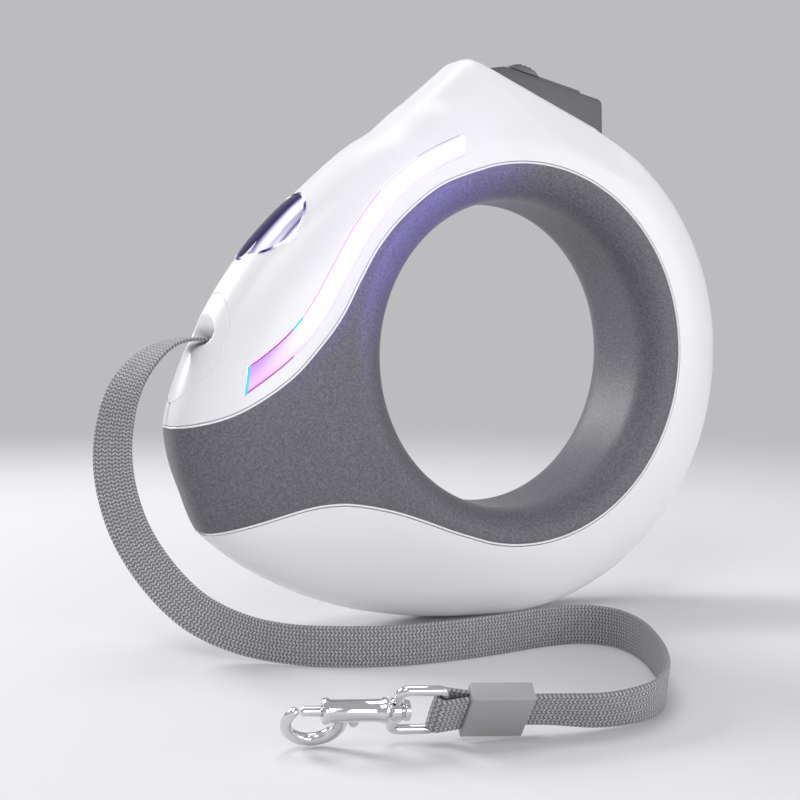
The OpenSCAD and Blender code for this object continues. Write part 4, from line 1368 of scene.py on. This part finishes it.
@dataclass
class Brake:
    """Brake button in the fin, with the lock slider on its ramp."""

    form: BodyForm
    palette: Palette
    half_w: float = 5.0
    gap: float = 0.25
    start: float = 0.8
    skirt: float = 2.5
    nose_at: Pair = (39.6, 9.1)
    edge_bevel: float = 0.75
    slope_at: Pair = (-6.7, 5.1)
    slope_a: float = 21.5
    ramp_at: Pair = (5.4, 3.1)
    ramp_a: float = 9.95
    slider_half: float = 4.0
    slider_from: float = 1.8
    slider_l: float = 25.2

    def end(self, height: float) -> float:
        """Returns where the button ends along the slope at a height over it."""
        return self.nose_at[0] + (self.nose_at[1] - height) * math.tan(math.radians(self.slope_a))

    def slope(self) -> Matrix:
        """Returns the place of the fin's sloping top."""
        x, z = self.slope_at
        return shift(*(self.form.centre + (x, 0, self.form.ring_r + z))) @ spin(self.slope_a, "Y")

    def ramp(self) -> Matrix:
        """Returns the place of the button's own top."""
        return self.slope() @ shift(self.ramp_at[0], 0, self.ramp_at[1]) @ spin(-self.ramp_a, "Y")

    def button(self, name: str) -> Piece:
        """Builds the button with softly rounded edges and the slider's track in its top."""
        low, end = -self.skirt - 1.5, self.end(-self.skirt)
        outline = [(self.start, low), (self.start, 0.3), self.ramp_at, (38.2, 8.85), (39.3, 8.5), (39.9, 7.6),
                   (end, -self.skirt), (end - 1, low)]
        piece = bake_place(prism(name, outline, -self.half_w, self.half_w, self.edge_bevel, 4), self.slope())
        track = prism("slider_track", box(3.2, -0.45, 31.1, 5), -3.0, 3.0)
        cut(piece, bake_place(track, self.ramp()))
        return self.palette.done(piece, Finish.BUTTON, 40)

    def slider(self, name: str) -> Piece:
        """Builds the lock slider: a thin plate and the ribbed hump that the thumb pushes."""
        low, high = self.slider_from, self.slider_from + self.slider_l
        parts = []
        for outline, half, bevel, steps in (
                ([(low, 0.05), (low, 0.8), (high - 0.5, 0.8), (high, 0.5), (high, 0.05)], self.slider_half, 0.22, 2),
                ([(low, 0.05), (3.2, 1.6), (5.6, 2.5), (6.4, 2.2), (7.2, 2.6), (8, 2.2), (8.8, 2.5), (9.6, 2.0),
                  (10.6, 1.9), (12.4, 0.7), (12.4, 0.05)], self.slider_half, 0.28, 3),
                (box(4, -1.4, 21, 0.4), 0.95, 0.15, 2)):
            parts.append(prism("slider_part", outline, -half, half, bevel, steps))
        return self.palette.done(join(parts, name), Finish.SLIDER, 40, self.ramp())


@dataclass
class Fasteners:
    """Screws and the light's switch in the back shell."""

    form: BodyForm
    palette: Palette
    screw_spots: tuple = ((15, 63), (-38, 63), (-95, 63), (222, 76), (100, 63))
    head_r: float = 2.7
    seat: float = 12.5
    switch_at: Pair = (45, 58)
    switch_r: float = 4.0
    switch_face: float = 17.7

    def spot(self, angle: float, radius: float) -> Matrix:
        """Returns the place of a piece whose own X points out of the back."""
        return shift(*(self.form.centre + spoke(angle, radius))) @ spin(90, "Z")

    def cutters(self) -> list:
        """Makes the plugs for the screw holes and the switch's hole."""
        holes = [(self.seat, 3.0, 40, spot) for spot in self.screw_spots] + [(2, 4.2, 48, self.switch_at)]
        return [bake_place(rod("hole", low, 30, r, steps), self.spot(*spot)) for low, r, steps, spot in holes]

    def screws(self, name: str) -> Piece:
        """Turns one screw with a cross recess for each spot."""
        seat, head = self.seat, self.head_r
        copies = []
        for spot in self.screw_spots:
            screw = turned("screw", [(-9, 0), (-8.2, 1.0), (0.2, 1.05), (0.2, 1.4), (seat, 1.4), (seat, head),
                                     (seat + 1.1, head), (seat + 1.6, head - 0.5), (seat + 1.8, 0.9),
                                     (seat + 1.8, 0)], 40)
            for turn in (20, 110):
                cut(screw, bake_place(prism("recess", box(seat + 0.7, -0.28, seat + 3, 0.28), -1.35, 1.35),
                                      spin(turn, "X")))
            copies.append(bake_place(screw, self.spot(*spot)))
        return self.palette.done(join(copies, name), Finish.STEEL, 35)

    def switch(self, name: str) -> Piece:
        """Turns the push switch's cap, with a shallow dished face."""
        face, r = self.switch_face, self.switch_r
        cap = turned(name, [(11, 0), (11, 4.9), (11.9, 4.9), (11.9, r), (face - 0.5, r), (face - 0.12, r - 0.15),
                            (face, r - 0.55), (face - 0.1, r - 1.1), (face - 0.45, 1.4), (face - 0.5, 0)], 64)
        return self.palette.done(cap, Finish.SHELL, 35, self.spot(*self.switch_at))


@dataclass
class TapeRun:
    """Free tape: a flat woven strip along the route that the part's source gives."""

    palette: Palette
    half_w: float = 5.0
    half_t: float = 0.45
    steps: int = 10
    # x, y, z of each point of the route, and the direction across the tape there
    way: tuple = (
        (-52, 0, 74.1, 0, 1, 0), (-63, 0, 76.4, 0, 1, 0), (-74, 0, 78.7, 0, 1, 0), (-84, 0, 78.4, -0.1, 1, 0),
        (-92, -1, 74, -0.4, 1, 0.1), (-98, -2, 66, -0.8, 1, 0.1), (-101, -3, 55, -1, 0.8, 0),
        (-101, -4, 44, -1, 0.6, 0), (-98, -6, 32, -1, 0.5, -0.2), (-92, -9, 21, -1, 0.4, -0.5),
        (-84, -13, 12, -0.8, 0.2, -1), (-75, -20, 7, -0.3, 0.1, -1), (-66, -29, 5.3, 0, 0, -1),
        (-55, -37, 5.1, 0, 0, -1), (-43, -42, 5.1, 0, 0, -1), (-29, -44, 5.1, 0, 0, -1), (-15, -44, 5.1, 0, 0, -1),
        (-1, -43, 5.1, 0, 0, -1), (10, -45, 5.1, 0, 0, -1), (15, -53, 5.1, 0, 0, -1), (13, -65, 5.1, 0, 0, -1),
        (7, -78, 5.1, 0, 0, -1), (-1, -91, 5.1, 0, 0.1, -1), (-10, -102, 5.1, 0, 0.2, -1),
        (-20, -108, 4.9, 0, 0.4, -1), (-31, -108.5, 4.9, 0.1, 0.6, -1), (-42, -106, 5.9, 0.1, 0.62, -0.78),
        (-53, -103, 6.6, 0.1, 0.62, -0.78))
    exit_mm: tuple[float, float, float] = (-80.0, 0.0, 78.8)

    def route(self) -> tuple[Array, Array, Array]:
        """Returns the smooth centre line, and ahead and across the tape at each of its points."""
        knots = np.array(self.way, float)
        line, wide = catmull(knots[:, :3], self.steps), catmull(unit(knots[:, 3:]), self.steps)
        ahead = unit(np.gradient(line, axis=0))
        wide = wide - ahead * np.sum(ahead * wide, axis=1)[:, None]
        return line, ahead, unit(wide)

    def build(self, name: str) -> Piece:
        """Sweeps the strip, with rolled edges."""
        line, ahead, wide = self.route()
        top = np.array([(-0.97, 0.8), (-0.9, 1), (-0.5, 0.94), (0, 0.9), (0.5, 0.94), (0.9, 1), (0.97, 0.8), (1, 0)])
        section = np.vstack([top, top[::-1][1:] * (1, -1), [(-1, 0)]]) * (self.half_w, self.half_t)
        return self.palette.done(woven(name, line, wide, unit(np.cross(ahead, wide)), section), Finish.TAPE, 50)

    def declare(self, piece: Piece, fittings: list) -> None:
        line = self.route()[0]
        length = float(lengths(line)[-1]) * MM
        [v * MM for v in self.exit_mm]
        2 * self.half_w * MM
        (line * MM).tolist()
        log.info("tape is %.0f mm long", length / MM)


@dataclass
class HookChain:
    """Sleeve, loop, bail and bolt snap at the tape's end: X runs along them, Z across the tape."""

    palette: Palette
    at: tuple[float, float, float] = (-47.2, -104.6, 6.25)
    lean: float = -38.0
    rise: float = -3.5
    heading: float = 165.0
    sleeve_l: float = 13.0
    sleeve_half_w: float = 6.25
    sleeve_half_t: float = 2.1
    tape_half_t: float = 0.45
    fold_r: float = 1.62
    wire_r: float = 1.0
    bail_l: float = 9.0
    bend_r: float = 1.5
    barrel_l: float = 13.0
    barrel_r: float = 2.3
    eye_r: float = 6.6
    hook_r: float = 1.0

    @property
    def bar_x(self) -> float:
        """Where the bail's near bar lies."""
        return self.sleeve_l + 5

    @property
    def far_x(self) -> float:
        """Where the bail's far bar lies."""
        return self.bar_x + self.bail_l

    @property
    def barrel_x(self) -> float:
        """Where the hook's barrel starts."""
        return self.far_x + 1.6

    def done(self, piece: Piece, finish: Finish, angle: float) -> Piece:
        """Finishes a piece and puts it in the chain's place in the row frame."""
        turn = spin(self.heading, "Z") @ spin(self.rise, "Y") @ spin(self.lean, "X")
        return self.palette.done(piece, finish, angle, shift(*self.at) @ turn)

    def sleeve(self, name: str) -> Piece:
        """Builds the moulded sleeve that clamps the tape."""
        outline = box(0, -self.sleeve_half_w, self.sleeve_l, self.sleeve_half_w)
        return self.done(prism(name, outline, -self.sleeve_half_t, self.sleeve_half_t, 0.4, 4), Finish.SLEEVE, 35)

    def loop(self, name: str) -> Piece:
        """Folds the webbing from the sleeve round the bail's bar and back."""
        t, bar = self.tape_half_t, self.bar_x
        line = [(8.0, t + 0.05), (10.5, t + 0.08), (self.sleeve_l, 0.75), (bar - 2.2, 1.25)]
        fold = [(bar + x, y) for x, _, y in spoke(np.arange(110, -111, -20), self.fold_r)]
        line = catmull(line + fold + [(x, -y) for x, y in line[::-1]], 4)
        way = unit(np.gradient(line, axis=0))
        zero = np.zeros(len(line))
        section = np.array([(-5, 0), (-4.85, 0.8), (0, 1), (4.85, 0.8), (5, 0), (4.85, -0.8), (0, -1),
                            (-4.85, -0.8)]) * (1, t)
        piece = woven(name, np.column_stack([line, zero]), np.array([0.0, 0.0, 1.0]),
                      np.column_stack([-way[:, 1], way[:, 0], zero]), section)
        return self.done(piece, Finish.TAPE, 50)

    def bail(self, name: str) -> Piece:
        """Sweeps the rectangular wire bail and adds the swivel's eye in its far bar."""
        half, near, far, bend = self.sleeve_half_w, self.bar_x, self.far_x, self.bend_r
        line = np.vstack([np.array([x, 0, z]) + spoke(np.arange(start, start + 91, 15), bend) for x, z, start in (
            (far - bend, half - bend, 0), (near + bend, half - bend, 90),
            (near + bend, bend - half, 180), (far - bend, bend - half, 270))])
        after = np.roll(line, -1, axis=0)
        dense = np.stack([line, (line + after) / 2], axis=1).reshape(-1, 3)
        wire = swept("bail_wire", dense, self.wire_r, 20, (0.0, 1.0, 0.0), closed=True)
        eye = turned("swivel_eye", [(far + x, r) for x, r in ((-1.15, 1.35), (-1.15, 2.1), (-0.7, 2.5), (0.7, 2.5),
                                                              (1.15, 2.1), (1.15, 1.35), (-1.15, 1.35))], 48)
        return self.done(join([wire, eye], name), Finish.CHROME, 40)

    def hook(self, name: str) -> Piece:
        """Builds the cast body: swivel stud, barrel and the tapering eye."""
        far, barrel, end, r = self.far_x, self.barrel_x, self.barrel_x + self.barrel_l, self.barrel_r
        stud = turned(name, [(far - 2.9, 0), (far - 2.9, 1.5), (far - 2.6, 2.0), (far - 1.9, 2.1), (far - 1.6, 1.9),
                             (far - 1.55, 1.25), (barrel, 1.25), (barrel, r), (barrel + 0.3, r + 0.25),
                             (barrel + 0.9, r + 0.25), (barrel + 1.3, r - 0.05), (barrel + 3, r - 0.1),
                             (end - 1.6, r - 0.1), (end - 1.2, r + 0.2), (end - 0.4, r + 0.25), (end, r - 0.1),
                             (end, 0)], 64)
        cut(stud, prism("knob_slot", box(barrel + 2.1, -8, barrel + 7.1, 0), -0.9, 0.9))
        cut(stud, rod("bolt_hole", end - 4, end + 1, 1.1, 32))
        # the bow swells towards the barrel, and its outside stays a circle
        radii = self.hook_r * np.interp(np.linspace(0, 1, 90), [0, 0.15, 0.34, 0.5, 0.92, 0.97, 0.99, 1.0],
                                        [1.45, 1.5, 1.35, 1.25, 1.1, 1.0, 0.95, 0.9])
        middle = np.array([end + 1, 0, -3.8])
        ring_r = self.eye_r - self.hook_r
        line = middle + spoke(np.linspace(146, 398, 90), ring_r - np.maximum(radii - self.hook_r, 0))
        eye = swept("hook_eye_bow", line, radii, 20, (0.0, 1.0, 0.0))
        web = prism("hook_web", [(end - x, z) for x, z in ((5.6, -1.5), (2.3, -1.5), (2.7, -3.2), (3.0, -5.2),
                                                           (3.5, -6.4), (4.6, -5.6), (5.4, -3.6))], -1.0, 1.0, 0.35, 3)
        bpy.ops.mesh.primitive_uv_sphere_add(segments=32, ring_count=16, radius=self.hook_r * MM,
                                             location=(middle + spoke(38.0, ring_r)) * MM)
        ball = bake_place(bpy.context.view_layer.objects.active, Matrix())
        return self.done(join([stud, eye, web, ball], name), Finish.CHROME, 40)

    def gate(self, name: str) -> Piece:
        """Turns the sliding bolt and the thumb knob that stands out of the barrel's slot."""
        back = self.barrel_x + 5.3
        tip = self.barrel_x + self.barrel_l + 4.2
        bolt = turned(name, [(back, 0), (back, 0.9), (back + 0.2, 1.0), (tip - 0.5, 1.0), (tip, 0.5), (tip, 0)], 32)
        low = self.barrel_r
        knob = turned("thumb_knob", [(0, 0), (0, 0.8), (low + 0.4, 0.8), (low + 0.7, 1.0), (low + 1.3, 1.05),
                                     (low + 2.0, 0.9), (low + 2.35, 0.5), (low + 2.45, 0)], 32)
        bake_place(knob, shift(back + 0.8, 0, 0) @ spin(90, "Y"))
        return self.done(join([bolt, knob], name), Finish.CHROME, 40)


# ---------------------------------------------------------------- studio


@dataclass
class Studio:
    """Plain pale floor, a white world for the camera and for reflections, and soft lamps."""

    floor_colour: str = "#dededf"
    wall_colour: str = "#bcbcbe"
    world_colour: str = "#e4e4e8"
    world_strength: float = 0.44
    floor_size: float = 40.0
    fade: Pair = (0.17, 0.75)
    # name, place and aim in metres, length of its side and its power in watts
    lamps: tuple = (
        ("key_softbox", (-0.6, -0.5, 0.85), (0, 0, 0.08), 0.45, 2.45),
        ("side_softbox", (0.7, -0.8, 0.2), (0, 0, 0.07), 0.6, 2.8),
        ("top_softbox", (0.05, 0.15, 1.0), (0, 0, 0.08), 0.6, 2.9),
        ("back_softbox", (-0.55, 0.75, 0.55), (0.02, 0, 0.06), 0.4, 7.5),
        ("low_fill", (0.0, -1.0, 0.12), (0, 0, 0.03), 0.5, 3.4))

    def floor(self) -> None:
        """Makes the floor, which keeps the shadow near the object and turns into the wall further off."""
        bpy.ops.mesh.primitive_plane_add(size=self.floor_size, location=(0, 0, 0))
        floor = bpy.context.view_layer.objects.active
        floor.name = "floor"
        net = blank("matt_pale_floor")
        matt = net.add("BsdfPrincipled", {"Base Color": srgb(self.floor_colour), "Roughness": 0.9})
        far = net.add("VectorMath", {0: net.place()}, operation="LENGTH").outputs["Value"]
        fade = net.remap(far, *self.fade, interpolation_type="SMOOTHERSTEP")
        seen = net.math("MULTIPLY", net.add("LightPath").outputs["Is Camera Ray"], fade)
        wall = net.add("Emission", {"Color": srgb(self.wall_colour), "Strength": 1.0})
        mix = net.add("MixShader", {0: seen, 1: matt.outputs[0], 2: wall.outputs[0]})
        net.add("OutputMaterial", {"Surface": mix.outputs[0]})
        dress(floor, net.owner)

    def world(self) -> None:
        """Makes the world soft grey for light, and pale for the camera, for gloss and for glass."""
        bpy.context.scene.world = bpy.data.worlds.new("soft_studio")
        net = Net(bpy.context.scene.world)
        light, shown = (net.add("Background", {"Color": srgb(code), "Strength": strength}).outputs[0]
                        for code, strength in ((self.world_colour, self.world_strength), (self.wall_colour, 1.0)))
        rays = net.add("LightPath").outputs
        first = net.math("MAXIMUM", rays["Is Camera Ray"], rays["Is Transmission Ray"])
        mix = net.add("MixShader", {0: net.math("MAXIMUM", first, rays["Is Glossy Ray"]), 1: light, 2: shown})
        net.add("OutputWorld", {"Surface": mix.outputs[0]})

    def build(self) -> None:
        """Sets the whole studio up."""
        self.floor()
        self.world()
        for name, place, aim, size, power in self.lamps:
            data = bpy.data.lights.new(name, "AREA")
            data.size = size
            data.energy = power
            lamp = bpy.data.objects.new(name, data)
            lamp.location = place
            lamp.rotation_euler = (Vector(aim) - Vector(place)).to_track_quat("-Z", "Y").to_euler()
            bpy.context.scene.collection.objects.link(lamp)
        bpy.context.scene.view_settings.view_transform = "Standard"


# ---------------------------------------------------------------- reports


class PointReport:
    """Logs how far in x and y each named feature shows from its image point."""

    def __init__(self, camera: PhotoCamera) -> None:
        """Keeps the camera that projects the finished pieces."""
        self.camera = camera
        self.rows: dict[str, list[float]] = {}

    def pixels(self, names: list) -> Array:
        """Projects all finished vertices of these pieces."""
        found = []
        depsgraph = bpy.context.evaluated_depsgraph_get()
        for name in names:
            obj = bpy.data.objects[name].evaluated_get(depsgraph)
            co = np.empty(len(obj.data.vertices) * 3)
            obj.data.vertices.foreach_get("co", co)
            found.append(co.reshape(-1, 3))
        return self.camera.project(np.vstack(found))

    def edge(self, mark: Mark, names: list, axis: int, biggest: bool, near: float = 25.0) -> None:
        """Compares a silhouette's furthest vertex along one axis, near the mark on the other axis."""
        seen = self.pixels(names)
        rows = seen[np.abs(seen[:, 1 - axis] - mark.value[1 - axis]) < near][:, axis]
        self.keep(mark, {axis: rows.max() if biggest else rows.min()})

    def gap(self, mark: Mark, names: list, axis: int, side: int, near: float = 5.0) -> None:
        """Compares where the finger hole's clear view ends on one side of its middle."""
        seen = self.pixels(names)
        rows = seen[np.abs(seen[:, 1 - axis] - mark.value[1 - axis]) < near][:, axis]
        middle = (Mark.HOLE_TOP.value[0], Mark.HOLE_RIGHT.value[1])[axis]
        self.keep(mark, {axis: rows[rows > middle].min() if side > 0 else rows[rows < middle].max()})

    def corner(self, mark: Mark, names: list) -> None:
        """Compares the mark with the pieces' vertex that shows nearest to it."""
        seen = self.pixels(names)
        self.keep(mark, dict(enumerate(seen[np.argmin(np.linalg.norm(seen - mark.value, axis=1))])))

    def middle(self, mark: Mark, names: list) -> None:
        """Compares the middle of the box that the pieces fill in the picture."""
        seen = self.pixels(names)
        self.keep(mark, dict(enumerate((seen.min(axis=0) + seen.max(axis=0)) / 2)))

    def keep(self, mark: Mark, found: dict[int, float]) -> None:
        """Keeps how far in x (0) and y (1) a place shows from its mark, 0 where it isn't compared."""
        self.rows[mark.name.lower()] = [round(float(found[i] - m), 1) if i in found else 0.0
                                        for i, m in enumerate(mark.value)]

    def write(self) -> None:
        """Logs the rows."""
        log.info("image points: %s", self.rows)


def place_pieces(pieces: dict) -> None:
    """Ties each finished piece to its body and hides the CAD nodes that it replaces.

    Args:
        pieces: for each piece, its body, the CAD nodes that it replaces and its slot.
    """
    for piece, (body, nodes, slot) in pieces.items():
        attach(piece, body)
        if nodes:
            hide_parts(*nodes)
        log.info("%s rides on %s, %d faces", piece.name, body, len(piece.data.polygons))


def dress_inner_nodes(palette: Palette, nodes: dict) -> None:
    """Gives the CAD nodes that stay, all inside the housing, the finishes of the real pieces."""
    for finish, names in {
        Finish.STEEL: ("guide_pins", "button_spring", "lever_pin", "recoil_spring", "reel_axle", "gate_spring"),
        Finish.INNER: ("brake_lever", "reel_spool", "spring_cup"), Finish.WOUND: ("reel_winding",),
        Finish.CELL: ("battery",), Finish.BOARD: ("circuit_board",),
        Finish.LED: ("led_strip_front", "led_strip_back"),
    }.items():
        for name in names:
            dress(nodes[name], palette[finish])


def report_points(camera: PhotoCamera) -> None:
    """Compares every image point with the finished pieces."""
    report = PointReport(camera)
    covers = ["shell_front_cover", "shell_back_cover"]
    body = covers + ["grip_front_skin", "grip_back_skin"]
    report.edge(Mark.NOSE_LEFT, body, 0, False)
    report.edge(Mark.RIGHT, covers, 0, True)
    report.edge(Mark.FIN_PEAK, covers, 1, False)
    report.edge(Mark.FOOT, covers, 1, True, 40)
    for mark, axis, side in ((Mark.HOLE_LEFT, 0, -1), (Mark.HOLE_RIGHT, 0, 1), (Mark.HOLE_TOP, 1, -1),
                             (Mark.HOLE_BOTTOM, 1, 1)):
        report.gap(mark, body, axis, side)
    report.edge(Mark.BUTTON_RIGHT, ["brake_button_cap"], 0, True)
    for mark in (Mark.GUIDE_FIN_OUTER, Mark.GUIDE_FIN_INNER, Mark.GUIDE_NOSE_OUTER, Mark.GUIDE_NOSE_INNER):
        report.corner(mark, ["light_guide_front_bar"])
    report.middle(Mark.LENS, ["lamp_lens_dome"])
    report.middle(Mark.SLEEVE, ["tape_sleeve_cover"])
    report.edge(Mark.HOOK_LEFT, ["hook_casting"], 0, False)
    report.write()


def main() -> None:
    logging.basicConfig(level=logging.INFO, format="%(name)s: %(message)s")
    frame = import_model()
    camera = PhotoCamera()
    camera.build()
    palette = Palette()
    tape = TapeRun(palette)
    chain = HookChain(palette)
    strap = tape.build("tape_webbing")
    pieces = {strap: ("housing", ["tape"], "tape")}
    for build, name, body, node, slot in (
            (chain.sleeve, "tape_sleeve_cover", "housing", "tape_sleeve", "sleeve"),
            (chain.loop, "tape_loop_webbing", "housing", "tape_loop", "tape"),
            (chain.bail, "hook_bail_wire", "bail", "hook_bail", "chrome"),
            (chain.hook, "hook_casting", "hook", "hook_body", "chrome"),
            (chain.gate, "hook_gate_bolt", "gate", "hook_gate", "chrome")):
        pieces[build(name)] = (body, [node], slot)
    fittings = list(pieces)[1:]
    form = BodyForm()
    skin = Skin(form, FinForm())
    tree = skin.tree()
    housing = Housing(form, skin, palette)
    housing.guide_line.settle(camera, skin.placed_tree(), form.centre)
    for side, where in ((-1, "front"), (1, "back")):
        pieces[housing.shell(side, f"shell_{where}_cover")] = ("housing", [f"shell_{where}"], "shell")
        pieces[housing.grip(side, f"grip_{where}_skin")] = ("housing", [f"grip_{where}"], "grip")
        pieces[housing.bead(side, f"grip_{where}_bead")] = ("housing", [], "shell")
        pieces[housing.guide(side, f"light_guide_{where}_bar")] = ("housing", [f"light_guide_{where}"], "light_guide")
    pieces[housing.port(tree, "port_plate_cover")] = ("housing", ["port_plate"], "shell")
    pieces[housing.lens(tree, "lamp_lens_dome")] = ("housing", ["lamp_lens"], "lens")
    pieces[housing.reflector(tree, "lamp_reflector_dish")] = ("housing", ["lamp_reflector"], "chrome")
    pieces[housing.lamp_led("lamp_led_star")] = ("housing", ["lamp_led"], "led")
    brake, fasteners = Brake(form, palette), Fasteners(form, palette)
    pieces[brake.button("brake_button_cap")] = ("button", ["brake_button"], "button")
    pieces[brake.slider("lock_slider_cap")] = ("slider", ["lock_slider"], "slider")
    pieces[fasteners.screws("housing_screw_set")] = ("housing", ["housing_screws"], "steel")
    pieces[fasteners.switch("light_switch_cap")] = ("switch", ["light_switch"], "shell")
    place_pieces(pieces)
    dress_inner_nodes(palette, frame["nodes"])
    tape.declare(strap, fittings + [frame["nodes"]["gate_spring"]])
    Studio().build()
    report_points(camera)


if __name__ == "__main__":
    main()
